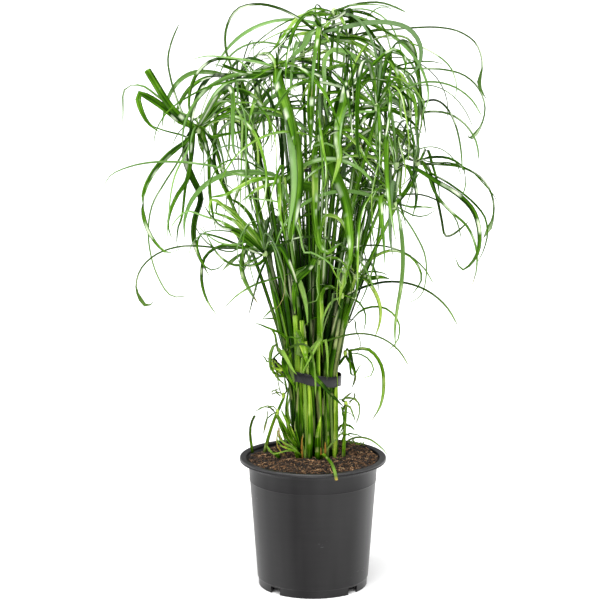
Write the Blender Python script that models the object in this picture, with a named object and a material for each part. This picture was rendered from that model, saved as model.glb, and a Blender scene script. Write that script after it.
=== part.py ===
"""A potted umbrella papyrus: a tied bundle of stems in a black nursery pot, each with a crown of long leaves.

Run with: blender --background --python part.py
World frame: metres, +Z up, X to the right, Y away from the viewer, origin at the middle of the pot's foot.
The values and tables below are in millimetres.
"""
import math
import random

import bmesh
import bpy
from mathutils import Matrix, Vector
from mathutils.bvhtree import BVHTree

MM = 0.001
GAP = 0.3                      # kept between neighbouring pieces

# Pot
POT_SIDES = 36
POT_WALL = 1.5
RIM_RADIUS = 85.0
RIM_TOP = 152.4
LIP_HEIGHT = 4.4
LIP_ROUND = 1.0
COLLAR_RADIUS = 74.5
COLLAR_FOOT = 125.5
COLLAR_STEP = 0.4
FLARE_FOOT = 143.5             # where the collar turns out towards the lip
FLARE_REACH = 4.1
BODY_TOP_RADIUS = 73.2
BODY_FOOT_RADIUS = 64.7
LEDGE = 1.2                    # height of the slanted edge at the body's foot
FOOT_RADIUS = 63.2
FOOT_TAPER = 0.4
FOOT_HEIGHT = 9.6
CHANNEL_HEIGHT = 8.6
CHANNEL_INNER = 45.0
CHANNEL_OUTER = 61.0
CHANNEL_SLANT = 0.6
CENTRE_RADIUS = 42.0
FLOOR_THICKNESS = 1.8
FLOOR_SLANT = 1.1
CHANNEL_TOP = CHANNEL_HEIGHT + FLOOR_THICKNESS
FLARE_TOP = RIM_TOP - LIP_HEIGHT + 1.0
CUT_MARGIN = 1.0
NOTCH_ANGLES = (-43.5, 46.5, 136.5, 226.5)
NOTCH_WIDTH = 14.0
NOTCH_HEIGHT = 8.0
NOTCH_DEPTH = 4.0              # how far a notch goes in past the drain channel's outer wall
DRAIN_WIDTH = 9.0
DRAIN_MARGIN = 4.0             # between a drain slot's ends and the channel's walls

# Soil
SOIL_EDGE = 150.0
SOIL_TOP = 151.0
SOIL_LUMP = 1.2
LUMP_BROAD = (0.11, 0.13)      # radians of the lumps' waves per millimetre along x and y
LUMP_FINE = (0.23, 0.19)
LUMP_FINE_SHARE = 0.6
LUMP_RISE = 3.0                # how fast the lumps grow outside the stems
SOIL_SLACK = 0.5               # kept between the soil and the pot's wall
SOIL_ROUND = 1.5               # fall at the pot's wall
SOIL_RINGS = (0.84, 0.64)      # radii of the rings between the wall and the stems, over the edge's
CLUMP_RADIUS = 38.0
HEAP = (40.0, 45.0, 4.0)       # x, y and height of the soil's heap at the back right
DIP = (-62.0, 38.0, -4.0)      # and of its hollow at the back left
HEAP_WIDTH = 30.0

# Stems
STEM_SIDES = 6
STEM_CORNER = 0.1              # how far a stem's three blunt corners stand out, over its radius
BASE_CENTRE = Vector((4.0, 8.0))
BASE_SPREAD = 0.88
TIE_CENTRE = Vector((-1.0, 0.0))
TIE_HALF_X = 27.0
TIE_HALF_Y = 24.0
TIE_HEIGHT = 253.0
STEM_SPACING = 8.0
SPREAD_ROUNDS = 400
STEM_LEAN_MOST = 0.42          # sideways run over height at which a stem stands at the edge of the bundle
STEM_RADIUS_BASE = 2.75
STEM_RADIUS_TIE = 2.6
STEM_RADIUS_TOP = 2.1
STEM_SHARES = (0.3, 0.62, 1.0)  # where a stem's rings lie along its free run
STEM_BEND = (0.33, 0.52)        # place of a stem's bending point along its lean and along its height
STEM_SLIM = (0.75, 1400.0)     # the shortest stems' thickness, and the height that adds a full thickness
STEM_ROOM = 0.5
STEM_BOW_STEP = 4.0
STEM_BOW_STEPS = 5

# Strap round the whole bundle and the thin tie higher up: both go once round an oval
STRAP_STEPS = 24
STRAP_LAP = 20.0               # degrees by which a strap's end lies inside its start
STRAP_LAP_ROOM = 0.5
STRAP_THICKNESS = 1.1
STRAP_HEIGHT = 12.0
STRAP_LEVEL = 248.5
STRAP_TILT = 0.17              # how much the strap falls towards the right
STRAP_ROOM = 5.4               # from the outermost stems' axes to the strap's middle
STRAP_START = 215.0
STRAP_TAIL = ((-46, -15, 268.5, 7), (-41.5, -13, 262, 9), (-37, -11.5, 257, 10), (-32, -13, 254, 11))
UPPER_TIE_CENTRE = Vector((7.0, 2.0, 488.0))
UPPER_TIE_HALF = (16.5, 6.0)
UPPER_TIE_TURN = 63.0
UPPER_TIE_START = 175.0
UPPER_TIE_HEIGHT = 4.5
UPPER_TIE_CLASP = 10.0
UPPER_TIE_THICKNESS = 1.2
UPPER_TIE_TAIL = ((-10, -9, 486, 3), (-5.5, -10.5, 486.5, 4))

# Crown hub, where the leaves join their stem
HUB_SIDES = 5
HUB_LOW_RADIUS = 2.3
HUB_MID_RADIUS = 4.6
HUB_TOP_RADIUS = 4.2
HUB_TIER = 3.6
HUB_TURN = 0.7                 # radians between the slots of one crown and the next

# Leaves
LEAF_STEP = 25.0               # longest straight run of a leaf's faces
LEAF_STEPS_MIN = 5
LEAF_STEPS_MAX = 9
LEAF_KEEL = 1.3
LEAF_TAPER = 0.75              # how much narrower a leaf's last ring is
KEEL_TAPER = 0.4
LEAF_ROOM = 0.8                # kept between leaves
LEAF_LIFT = 35.0               # degrees at which a leaf leaves the hub
LEAF_RISE = 9.0
LEAF_SHORT_START = 14.5        # a first knot nearer than this halves the rise
ROOT_SHARE = 0.15              # how far along its first step a leaf has to clear its neighbours
LEAF_SLOTS_TRIED = 7
PUSHES = (0, 8, -8, 16, -16, 25, -25, 36, -36, 50, -50)
FILL_PUSHES = (0, 8, -8, 16, -16)
FILL_TRIES = 14
FILL_LENGTH = (125, 195)
FILL_RISE = (25, 55)
FILL_DROOP = (100, 140)
FILL_SWAY = (-45, 45)
FILL_BEND = 1.15
FILL_TURN = 0.3                # radians by which a leaf's heading strays, more with each failed try
FIRST_HEADING = 0.6
FILL_WIDTH = (5.0, 8.0)
FILL_TWIST = (-60, 60)
FILL_STEPS = 6
FILL_CEILING = 672.0           # no filling leaf arches above this height
FILL_CLIMB = 45.0              # level run over which a filling leaf may climb to it
FILL_REACH = 200.0             # no filling leaf goes further than this from the middle of the pot

# The front view's eye point, along whose lines of sight the traced routes are moved to their depth
EYE = Vector((-15.0, -2290.0, 744.0))

# Crowns on tall stems: (x, z) as seen on the plane y = 0, depth y, and how many leaves fill the crown round
CROWNS = {
    "01": (-130, 527, -20, 2),     # far left
    "02": (-41, 595, -45, 3),      # upper left, in front
    "03": (23, 658, 20, 3),        # top
    "04": (7, 638, -12, 3),
    "05": (40, 631, 40, 2),
    "06": (77, 592, 10, 2),
    "07": (38, 572, -48, 5),
    "08": (72, 552, -75, 5),
    "09": (94, 486, -30, 4),
    "10": (118, 490, 22, 2),
    "11": (92, 441, -52, 4),
    "12": (68, 443, 85, 4),
    "13": (-55, 386, -45, 2),
    "14": (-68, 532, 48, 5),
    "15": (-36, 470, -72, 5),
    "16": (8, 517, -68, 5),
    "17": (-84, 582, 85, 5),
    "18": (52, 600, 95, 5),
    "19": (-12, 612, 62, 5),
    "20": (108, 545, 75, 5),
}

# Young shoots, each one stem and its leaves in a piece: (x, z), depth y, number of filling leaves
SHOOTS = {
    "01": (48, 360, -30, 1),
    "02": (6, 377, -46, 2),
    "03": (33, 338, -44, 2),
    "04": (38, 307, -12, 1),
    "05": (37, 271, -6, 0),
    "06": (-9, 268, -40, 1),
    "07": (-33, 268, -22, 1),
    "08": (-41, 201, -20, 0),
    "09": (-34, 221, -11, 0),
    "10": (38, 211, -13, 0),
}

# Shoots that stand beside the bundle, not in the strap: where they leave the soil
SIDE_FEET = {"08": (-17, -13), "09": (-57, 25), "10": (35, -8)}

# Stems without a crown, cut off above the strap: (x, z), depth y
CUT_STEMS = {"01": (-21, 318, -34), "02": (-13, 312, -36)}

# Single blades that grow from the soil: (width, twist, points)
BLADES = {
    "blade_left": (5.5, 15, ((-70, 22, 149.5), (-72, 22, 160), (-73.5, 21, 174), (-72, 20, 186),
                             (-67.5, 20, 196))),
    "blade_over_rim": (5.5, 10, ((9, -23, 152), (10, -25, 159), (11.5, -31, 163), (16, -51, 163),
                                 (21, -72, 161.5), (24.2, -85, 155), (26, -89.5, 147))),
}

# Leaves that show one by one, traced on the plane y = 0: (width, depth of the tip, twist in degrees, points)
CROWN_LEAVES = {
    "01": (
        (8.5, -70, 50, ((-146, 514), (-171, 497), (-192, 463), (-194, 435), (-182, 404), (-161, 386),
                        (-149, 396))),
        (9.0, -35, 60, ((-143, 517), (-146, 500), (-134, 470), (-126, 451), (-138, 420), (-130, 386),
                        (-117, 361))),
        (8.0, -52, 60, ((-146, 541), (-162, 558), (-176, 581), (-187, 599))),
        (3.5, 45, 40, ((-146, 546), (-160, 587), (-163, 618), (-149, 652))),
        (6.0, 25, 60, ((-148, 540), (-165, 554), (-182, 566), (-196, 572), (-196, 560), (-187, 540),
                      (-172, 527))),
        (5.0, -30, 40, ((-161, 556), (-176, 570), (-188, 579), (-202, 586), (-214, 577), (-214, 546),
                        (-215, 528))),
        (5.0, 30, 50, ((-143, 512), (-161, 482), (-183, 447), (-188, 410), (-180, 368), (-158, 334),
                       (-141, 341))),
    ),
    "02": (
        (7.0, -60, 50, ((-73, 594), (-108, 587), (-136, 558), (-148, 530), (-148, 508))),
        (6.5, -20, 50, ((-58, 606), (-93, 611), (-119, 608), (-137, 583), (-140, 552), (-131, 529))),
        (5.5, -90, 40, ((-56, 595), (-78, 596), (-115, 606))),
        (9.5, -70, 70, ((-22, 593), (-6, 592), (1, 582), (-4, 560), (-3, 518))),
    ),
    "03": (
        (4.0, 60, 40, ((10, 664), (-15, 659), (-41, 646), (-68, 625), (-78, 600))),
        (3.5, 0, 40, ((38, 670), (70, 674), (90, 669), (106, 661))),
        (6.0, -25, 50, ((53, 656), (80, 643), (104, 624), (120, 603), (131, 572), (121, 543))),
    ),
    "04": (
        (6.0, -45, 50, ((-22, 660), (-51, 671), (-81, 670), (-97, 650), (-98, 617), (-84, 580),
                        (-90, 548))),
        (8.0, -60, 50, ((25, 644), (67, 652), (98, 649), (116, 638), (122, 616), (115, 593), (101, 588))),
        (8.0, -75, 60, ((-8, 628), (-26, 611), (-37, 598), (-44, 575))),
    ),
    "05": (
        (5.0, 20, 40, ((71, 642), (123, 646), (156, 644), (182, 630), (191, 598), (183, 574), (196, 564))),
        (4.0, 75, 40, ((53, 647), (68, 666), (84, 669), (96, 656))),
        (4.0, -10, 40, ((78, 635), (105, 630), (143, 613), (159, 594), (162, 572), (156, 556))),
        (7.0, -30, 50, ((56, 633), (73, 623), (88, 607), (100, 580), (103, 548))),
    ),
    "06": (
        (4.5, 30, 40, ((108, 599), (140, 600), (175, 590), (194, 560), (184, 523), (167, 519), (176, 530))),
        (6.5, -45, 50, ((86, 598), (107, 580), (116, 555), (115, 525))),
        (6.0, 50, 50, ((92, 603), (108, 597), (119, 570), (117, 533), (118, 505))),
    ),
    "07": (
        (6.5, -80, 60, ((55, 592), (79, 616), (97, 624), (106, 606), (101, 590))),
    ),
    "09": (
        (8.0, -60, 50, ((127, 479), (158, 463), (182, 441), (190, 412), (186, 384), (168, 368),
                        (160, 390))),
        (6.0, -75, 60, ((103, 495), (112, 480), (118, 455), (112, 430))),
    ),
    "10": (
        (5.5, 40, 40, ((137, 493), (170, 489), (193, 475), (206, 448), (202, 418), (193, 406))),
        (5.0, -25, 50, ((130, 478), (145, 448), (178, 419), (188, 380), (179, 345))),
        (5.0, 0, 40, ((124, 500), (152, 500), (169, 491), (174, 470), (165, 448))),
        (5.0, 60, 60, ((133, 480), (144, 440), (149, 412), (154, 407), (178, 428))),
    ),
    "15": (
        (5.0, -40, 40, ((-71, 475), (-107, 489), (-141, 494), (-177, 495), (-207, 490), (-233, 478),
                        (-241, 458))),
    ),
    "11": (
        (6.5, -75, 60, ((98, 432), (102, 401), (102, 363), (96, 324), (93, 289), (95, 276))),
        (4.0, -20, 40, ((105, 427), (124, 401), (130, 370), (123, 338), (101, 330))),
        (4.5, -45, 40, ((106, 443), (125, 444), (142, 441))),
    ),
    "13": (
        (5.5, 30, 50, ((-74, 376), (-98, 378), (-115, 398), (-128, 428))),
        (5.0, -20, 40, ((-94, 395), (-149, 399), (-189, 383), (-204, 352), (-189, 325), (-178, 327),
                        (-181, 336))),
        (6.5, -60, 60, ((-80, 397), (-113, 399), (-125, 385), (-127, 347), (-108, 315))),
        (7.5, -75, 60, ((-66, 397), (-88, 414), (-109, 430))),
        (7.5, -15, 60, ((-62, 400), (-71, 408), (-80, 392), (-81, 364), (-62, 330))),
        (4.5, 15, 50, ((-61, 367), (-70, 333), (-75, 315))),
    ),
}

SHOOT_LEAVES = {
    "01": (
        (5.5, -40, 40, ((65, 384), (89, 395), (111, 389), (126, 362), (110, 338))),
        (7.5, -60, 70, ((62, 361), (78, 363), (89, 360))),
        (6.5, -20, 60, ((64, 357), (76, 334), (77, 310), (70, 290))),
    ),
    "02": (
        (5.0, -70, 40, ((-22, 367), (-58, 358), (-85, 344), (-107, 321))),
    ),
    "03": (
        (4.0, -60, 40, ((22, 330), (14, 312), (10, 290))),
    ),
    "04": (
        (4.5, -30, 50, ((56, 326), (80, 329), (98, 314), (100, 292), (82, 272))),
        (3.5, 10, 50, ((49, 300), (56, 284), (44, 265))),
    ),
    "05": (
        (6.5, -10, 50, ((47, 281), (62, 281), (76, 269), (82, 242), (79, 213), (66, 191))),
        (5.0, 20, 60, ((45, 263), (50, 247), (45, 233))),
        (3.5, -20, 50, ((52, 274), (66, 266), (71, 252), (62, 243), (53, 248))),
    ),
    "06": (
        (7.0, -66, 60, ((-3, 254), (16, 231), (37, 209))),
        (7.5, -50, 60, ((-15, 284), (-20, 301))),
        (6.0, -62, 60, ((2, 277), (10, 289))),
    ),
    "07": (
        (5.5, -24, 50, ((-38, 284), (-45, 286), (-51, 268), (-48, 250))),
        (5.0, -10, 50, ((-45, 301), (-69, 310))),
    ),
    "08": (
        (4.0, -10, 40, ((-51, 212), (-60, 209), (-69, 204))),
        (3.5, -26, 40, ((-53, 194), (-56, 184), (-56, 177))),
    ),
    "09": (
        (4.0, -16, 40, ((-44, 232), (-50, 226))),
        (4.5, -20, 40, ((-32, 238), (-33, 250))),
    ),
    "10": (
        (3.5, -10, 40, ((46, 222), (52, 218), (54, 209), (53, 198), (49, 191))),
        (4.0, -16, 40, ((47, 228),)),
        (3.5, -20, 40, ((45, 205), (48, 198), (49, 191))),
    ),
}


def clear_scene():
    for old in list(bpy.data.objects):
        bpy.data.objects.remove(old, do_unlink=True)


def finish(name, colour, roughness):
    """A plain Principled material."""
    material = bpy.data.materials.new(name)
    material.use_nodes = True
    shader = material.node_tree.nodes["Principled BSDF"]
    shader.inputs["Base Color"].default_value = (*colour, 1.0)
    shader.inputs["Roughness"].default_value = roughness
    return material


def add_piece(name, points, faces, material, smooth_angle=None):
    """A closed mesh object from points in millimetres, its faces turned to point out."""
    mesh = bpy.data.meshes.new(name)
    mesh.from_pydata([tuple(Vector(p) * MM) for p in points], [], faces)
    shape = bmesh.new()
    shape.from_mesh(mesh)
    bmesh.ops.recalc_face_normals(shape, faces=shape.faces)
    if shape.calc_volume(signed=True) < 0:
        bmesh.ops.reverse_faces(shape, faces=shape.faces)
    shape.to_mesh(mesh)
    shape.free()
    if smooth_angle is not None:
        mesh.shade_smooth()
        mesh.set_sharp_from_angle(angle=math.radians(smooth_angle))
    mesh.materials.append(material)
    piece = bpy.data.objects.new(name, mesh)
    bpy.context.scene.collection.objects.link(piece)
    return piece


def turned(profile, sides):
    """Points and faces of a profile of (radius, height) turned round the z axis, both ends on the axis."""
    points = [(0.0, 0.0, profile[0][1])]
    for radius, height in profile[1:-1]:
        for side in range(sides):
            angle = 2 * math.pi * side / sides
            points.append((radius * math.cos(angle), radius * math.sin(angle), height))
    points.append((0.0, 0.0, profile[-1][1]))
    last = len(points) - 1
    rings = len(profile) - 2
    faces = []
    for side in range(sides):
        after = (side + 1) % sides
        faces.append((0, 1 + after, 1 + side))
        top = 1 + (rings - 1) * sides
        faces.append((last, top + side, top + after))
        for ring in range(rings - 1):
            low = 1 + ring * sides
            faces.append((low + side, low + after, low + sides + after, low + sides + side))
    return points, faces


def cut(piece, cutter):
    """Take the cutter's shape out of a piece."""
    cutter.hide_render = True
    cutter.display_type = "WIRE"
    boolean = piece.modifiers.new("cut " + cutter.name, "BOOLEAN")
    boolean.operation = "DIFFERENCE"
    boolean.solver = "EXACT"
    boolean.object = cutter


def radial_boxes(name, angles, inner, outer, width, low, high, material):
    """Boxes that point out from the z axis, one at each angle, which is measured from the front."""
    points = []
    faces = []
    for angle in angles:
        turn = Matrix.Rotation(math.radians(angle), 3, "Z")
        first = len(points)
        for height in (low, high):
            for side, reach in ((-1, inner), (1, inner), (1, outer), (-1, outer)):
                points.append(turn @ Vector((side * width / 2, -reach, height)))
        corners = ((0, 1, 2, 3), (4, 5, 6, 7), (0, 1, 5, 4), (1, 2, 6, 5), (2, 3, 7, 6), (3, 0, 4, 7))
        faces += [tuple(first + corner for corner in face) for face in corners]
    return add_piece(name, points, faces, material)


def make_pot(material):
    """Thin-walled nursery pot with a flat lip, a collar, a recessed foot ring and a raised drain channel."""
    lip_under = RIM_TOP - LIP_HEIGHT
    lip_inner = pot_inside(RIM_TOP)
    profile = (
        (0, 0), (CENTRE_RADIUS, 0), (CHANNEL_INNER, CHANNEL_HEIGHT),
        (CHANNEL_OUTER - CHANNEL_SLANT, CHANNEL_HEIGHT), (CHANNEL_OUTER + CHANNEL_SLANT, 0), (FOOT_RADIUS, 0),
        (FOOT_RADIUS + FOOT_TAPER, FOOT_HEIGHT), (BODY_FOOT_RADIUS, FOOT_HEIGHT + LEDGE),
        (BODY_TOP_RADIUS, COLLAR_FOOT - LEDGE), (BODY_TOP_RADIUS + COLLAR_STEP, COLLAR_FOOT),
        (COLLAR_RADIUS, FLARE_FOOT - LIP_ROUND), (COLLAR_RADIUS + FLARE_REACH, lip_under),
        (RIM_RADIUS - LIP_ROUND, lip_under), (RIM_RADIUS, lip_under + LIP_ROUND),
        (RIM_RADIUS, RIM_TOP - LIP_ROUND), (RIM_RADIUS - LIP_ROUND, RIM_TOP),
        (lip_inner, RIM_TOP), (lip_inner, FLARE_TOP),
        (pot_inside(FLARE_FOOT), FLARE_FOOT), (pot_inside(CHANNEL_TOP), CHANNEL_TOP),
        (CHANNEL_INNER - FLOOR_SLANT, CHANNEL_TOP), (CENTRE_RADIUS - FLOOR_SLANT, FLOOR_THICKNESS),
        (0, FLOOR_THICKNESS),
    )
    points, faces = turned(profile, POT_SIDES)
    pot = add_piece("pot", points, faces, material, smooth_angle=35)
    notches = radial_boxes("notch_cutter", NOTCH_ANGLES, CHANNEL_OUTER - NOTCH_DEPTH, RIM_RADIUS, NOTCH_WIDTH,
                           -CUT_MARGIN, NOTCH_HEIGHT, material)
    cut(pot, notches)
    drains = radial_boxes("drain_cutter", NOTCH_ANGLES, CHANNEL_INNER + DRAIN_MARGIN,
                          CHANNEL_OUTER - DRAIN_MARGIN, DRAIN_WIDTH, CHANNEL_HEIGHT - CUT_MARGIN,
                          CHANNEL_TOP + CUT_MARGIN, material)
    cut(pot, drains)
    return pot


def pot_inside(height):
    """The pot's inner radius at a height on its wall or its flare."""
    low = BODY_FOOT_RADIUS - POT_WALL
    high = COLLAR_RADIUS - POT_WALL
    wall = (height - CHANNEL_TOP) / (FLARE_FOOT - CHANNEL_TOP)
    flare = (height - FLARE_FOOT) / (FLARE_TOP - FLARE_FOOT)
    return low + (high - low) * min(1.0, wall) + FLARE_REACH * max(0.0, min(1.0, flare))


def heap(x, y, mound):
    """The height that a soft mound adds to the soil at a place."""
    away = math.hypot(x - mound[0], y - mound[1]) / HEAP_WIDTH
    return mound[2] * math.exp(-away * away)


def soil_height(x, y):
    """The soil's top: level under the stems, with soft lumps, a heap and a hollow round them."""
    reach = (math.hypot(x, y) - CLUMP_RADIUS) / (COLLAR_RADIUS - POT_WALL - CLUMP_RADIUS)
    reach = max(0.0, min(1.0, reach))
    broad = math.sin(x * LUMP_BROAD[0]) * math.cos(y * LUMP_BROAD[1])
    fine = math.sin(x * LUMP_FINE[0] - y * LUMP_FINE[1])
    rough = SOIL_LUMP * (broad + LUMP_FINE_SHARE * fine) + heap(x, y, HEAP) + heap(x, y, DIP)
    return SOIL_TOP + (SOIL_EDGE - SOIL_TOP) * reach + rough * min(1.0, reach * LUMP_RISE)


def make_soil(material):
    """Peat that fills the pot up to its rim, level under the stems."""
    edge = pot_inside(SOIL_EDGE) - SOIL_SLACK
    shoulder = FLARE_FOOT - GAP
    radii = [edge, *(edge * share for share in SOIL_RINGS), CLUMP_RADIUS]
    profile = (
        (0, FLOOR_THICKNESS + GAP),
        (CENTRE_RADIUS - FLOOR_SLANT - SOIL_SLACK, FLOOR_THICKNESS + GAP),
        (CHANNEL_INNER - FLOOR_SLANT - SOIL_SLACK, CHANNEL_TOP + GAP),
        (pot_inside(CHANNEL_TOP) - SOIL_SLACK, CHANNEL_TOP + GAP),
        (pot_inside(shoulder) - SOIL_SLACK, shoulder),
        *((radius, SOIL_TOP) for radius in radii),
        (0, SOIL_TOP),
    )
    points, faces = turned(profile, POT_SIDES)
    first_top = 1 + 4 * POT_SIDES
    for index in range(first_top, len(points) - 1):
        x, y, _ = points[index]
        height = soil_height(x, y)
        if index < first_top + POT_SIDES:
            height = max(height - SOIL_ROUND, FLARE_FOOT + GAP)
            inward = (pot_inside(height) - SOIL_SLACK) / edge
            x, y = x * inward, y * inward
        points[index] = (x, y, height)
    return add_piece("soil", points, faces, material, smooth_angle=60)


def ring_round(centre, along, radius, sides, turn=0.0):
    """Points round a stem: a circle drawn out to three blunt corners, as a sedge's stem has."""
    across = Vector((0, 1, 0)).cross(along).normalized()
    other = along.cross(across)
    points = []
    for side in range(sides):
        angle = turn + 2 * math.pi * side / sides
        reach = radius * (1 + STEM_CORNER * math.cos(3 * angle))
        points.append(centre + across * (reach * math.cos(angle)) + other * (reach * math.sin(angle)))
    return points


def band_faces(low, high, sides):
    """Triangles between two rings that start at the points low and high."""
    faces = []
    for side in range(sides):
        after = (side + 1) % sides
        faces.append((low + side, low + after, high + side))
        faces.append((low + after, high + after, high + side))
    return faces


def cap_faces(first, sides):
    """Triangles that close a ring."""
    return [(first, first + side, first + side + 1) for side in range(1, sides - 1)]


def tube_faces(first, rings, sides):
    """Triangles of a closed tube through rings of points."""
    faces = cap_faces(first, sides) + cap_faces(first + (rings - 1) * sides, sides)
    for ring in range(rings - 1):
        low = first + ring * sides
        faces += band_faces(low, low + sides, sides)
    return faces


def seen(x, z, depth):
    """The point at a depth that the front view shows at (x, z) on the plane y = 0."""
    return EYE + (Vector((x, 0.0, z)) - EYE) * (1 - depth / EYE.y)


def smooth_route(knots, count):
    """Count + 1 points, evenly spaced, on a smooth curve through the knots."""
    curve = []
    padded = [knots[0] * 2 - knots[1], *knots, knots[-1] * 2 - knots[-2]]
    for before, start, end, after in zip(padded, padded[1:], padded[2:], padded[3:]):
        for part in range(10):
            t = part / 10
            curve.append(0.5 * (start * 2 + (end - before) * t
                                + (before * 2 - start * 5 + end * 4 - after) * t ** 2
                                + (start * 3 - before - end * 3 + after) * t ** 3))
    curve.append(knots[-1])
    lengths = [0.0]
    for start, end in zip(curve, curve[1:]):
        lengths.append(lengths[-1] + (end - start).length)
    route = []
    span = 0
    for index in range(count + 1):
        target = lengths[-1] * index / count
        while span < len(lengths) - 2 and lengths[span + 1] < target:
            span += 1
        share = (target - lengths[span]) / max(lengths[span + 1] - lengths[span], 1e-9)
        route.append(curve[span].lerp(curve[span + 1], share))
    return route


def spread_apart(places):
    """Push places in the tie's oval apart until the stems have room."""
    for _ in range(SPREAD_ROUNDS):
        for index, place in enumerate(places):
            for other in places[:index]:
                between = place - other
                short = STEM_SPACING - between.length
                if short > 0:
                    push = between.normalized() * short / 2
                    place += push
                    other -= push
        for place in places:
            from_centre = place - TIE_CENTRE
            size = math.hypot(from_centre.x / TIE_HALF_X, from_centre.y / TIE_HALF_Y)
            if size > 1:
                place -= from_centre * (1 - 1 / size)


class Stem:
    """One stem's route from its foot in the soil, through the tie, to its crown."""

    def __init__(self, top, foot, tie=None):
        self.top = top
        self.foot = foot
        self.tie = tie

    def shape(self, bow):
        """Set the route and the radii; bow moves the middle of the free run sideways."""
        start = self.tie or self.foot
        end = self.top - Vector((0, 0, GAP))
        height = end.z - start.z
        lean = Vector((end.x - start.x, end.y - start.y, 0))
        bend = start + lean * STEM_BEND[0] + Vector((bow[0], bow[1], height * STEM_BEND[1]))
        slim = min(1.0, STEM_SLIM[0] + height / STEM_SLIM[1])
        self.route = [self.foot]
        self.radii = [STEM_RADIUS_BASE * slim]
        if self.tie:
            self.route.append(self.tie)
            self.radii.append(STEM_RADIUS_TIE * slim)
        for share in STEM_SHARES:
            self.route.append(start * (1 - share) ** 2 + bend * 2 * share * (1 - share) + end * share ** 2)
            self.radii.append((STEM_RADIUS_TIE + (STEM_RADIUS_TOP - STEM_RADIUS_TIE) * share) * slim)

    def mesh(self, extra=0.0):
        """Points and triangles of the stem."""
        rings = self.rings(STEM_SIDES, 0.0, extra)
        return [point for ring in rings for point in ring], tube_faces(0, len(rings), STEM_SIDES)

    def rings(self, sides, turn, extra=0.0):
        """Rings of points along the route, the first level on the soil and the last level under the crown."""
        rings = []
        for index, place in enumerate(self.route):
            before = self.route[max(index - 1, 0)]
            after = self.route[min(index + 1, len(self.route) - 1)]
            along = (after - before).normalized()
            if index in (0, len(self.route) - 1):
                along = Vector((0, 0, 1))
            rings.append(ring_round(place, along, self.radii[index] + extra, sides, turn))
        return rings


def box_of(points):
    low = Vector(min(p[axis] for p in points) for axis in range(3))
    high = Vector(max(p[axis] for p in points) for axis in range(3))
    return low, high


def tree_of(solid):
    points, faces = solid
    return BVHTree.FromPolygons([tuple(p) for p in points], faces)


class Space:
    """Everything that stands already, kept as trees that a new piece is tested against."""

    def __init__(self):
        self.solids = []

    def add(self, owner, solid, loose=None):
        """Keep a solid; loose is the part of it that its own crown's other leaves have to clear."""
        self.solids.append((owner, box_of(solid[0]), tree_of(solid), tree_of(loose) if loose else None))

    def is_free(self, owner, solid, loose=None):
        """Whether a solid touches no other owner's solids, and its loose part none of its owner's."""
        low, high = box_of(solid[0])
        tree = tree_of(solid)
        loose_tree = tree_of(loose) if loose else None
        for other_owner, (other_low, other_high), other, other_loose in self.solids:
            if any(low[axis] > other_high[axis] or high[axis] < other_low[axis] for axis in range(3)):
                continue
            if other_owner != owner:
                if tree.overlap(other):
                    return False
            elif loose_tree and (loose_tree.overlap(other) or other_loose and tree.overlap(other_loose)):
                return False
        return True


def plan_stems(space):
    """Stems of the tall crowns and the shoots, spread through the strap and bowed clear of each other."""
    tops = {"culm_" + key: seen(*spot[:3]) for key, spot in CROWNS.items()}
    tops.update({"shoot_" + key: seen(*spot[:3]) for key, spot in SHOOTS.items() if key not in SIDE_FEET})
    tops.update({"cut_stem_" + key: seen(*spot) for key, spot in CUT_STEMS.items()})
    places = []
    for top in tops.values():
        aim = top.xy - TIE_CENTRE
        lean = aim.length / (top.z - TIE_HEIGHT)
        places.append(TIE_CENTRE + aim.normalized() * TIE_HALF_X * min(1.0, lean / STEM_LEAN_MOST))
    spread_apart(places)
    stems = {}
    for (name, top), place in zip(tops.items(), places):
        base = BASE_CENTRE + (place - TIE_CENTRE) * BASE_SPREAD
        stems[name] = Stem(top, Vector((*base, SOIL_TOP + GAP)), Vector((*place, TIE_HEIGHT)))
    for key, (x, y) in SIDE_FEET.items():
        stems["shoot_" + key] = Stem(seen(*SHOOTS[key][:3]), Vector((x, y, foot_height(x, y))))
    for name, stem in stems.items():
        settle(name, stem, space)
    return stems


def foot_height(x, y):
    """The height of a stem's level foot that clears the soil's lumps round a place."""
    around = (-STEM_RADIUS_BASE, 0, STEM_RADIUS_BASE)
    return GAP + max(soil_height(x + side, y + ahead) for side in around for ahead in around)


def settle(name, stem, space):
    """Give a stem the smallest bow that clears what stands already."""
    steps = range(-STEM_BOW_STEPS, STEM_BOW_STEPS + 1)
    bows = [(x * STEM_BOW_STEP, y * STEM_BOW_STEP) for x in steps for y in steps]
    bows.sort(key=lambda bow: math.hypot(*bow))
    for bow in bows:
        stem.shape(bow)
        if space.is_free(name, stem.mesh(extra=STEM_ROOM)):
            break
    space.add(name, stem.mesh())


def ribbon(way, thickness):
    """Points and triangles of a flat strap that stands on its edge along a way of (place, height) pairs."""
    points = []
    for index, (place, height) in enumerate(way):
        before = way[max(index - 1, 0)][0]
        after = way[min(index + 1, len(way) - 1)][0]
        along = (after - before).normalized()
        across = (Vector((0, 0, 1)) - along * along.z).normalized()
        out = along.cross(across)
        for edge, face in ((-1, -1), (1, -1), (1, 1), (-1, 1)):
            points.append(place + across * (edge * height / 2) + out * (face * thickness / 2))
    return points, tube_faces(0, len(way), 4)


def oval_way(centre, half_long, half_wide, turn, start, lap_room):
    """Places once round an oval and on to just inside where they began."""
    long_way = Vector((math.cos(math.radians(turn)), math.sin(math.radians(turn)), 0))
    wide_way = Vector((-long_way.y, long_way.x, 0))
    places = []
    for step in range(STRAP_STEPS + 1):
        share = step / STRAP_STEPS
        angle = math.radians(start + (360 + STRAP_LAP) * share)
        room = lap_room * (1 - share)
        places.append(centre + long_way * ((half_long + room) * math.cos(angle))
                      + wide_way * ((half_wide + room) * math.sin(angle)))
    return places


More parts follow.
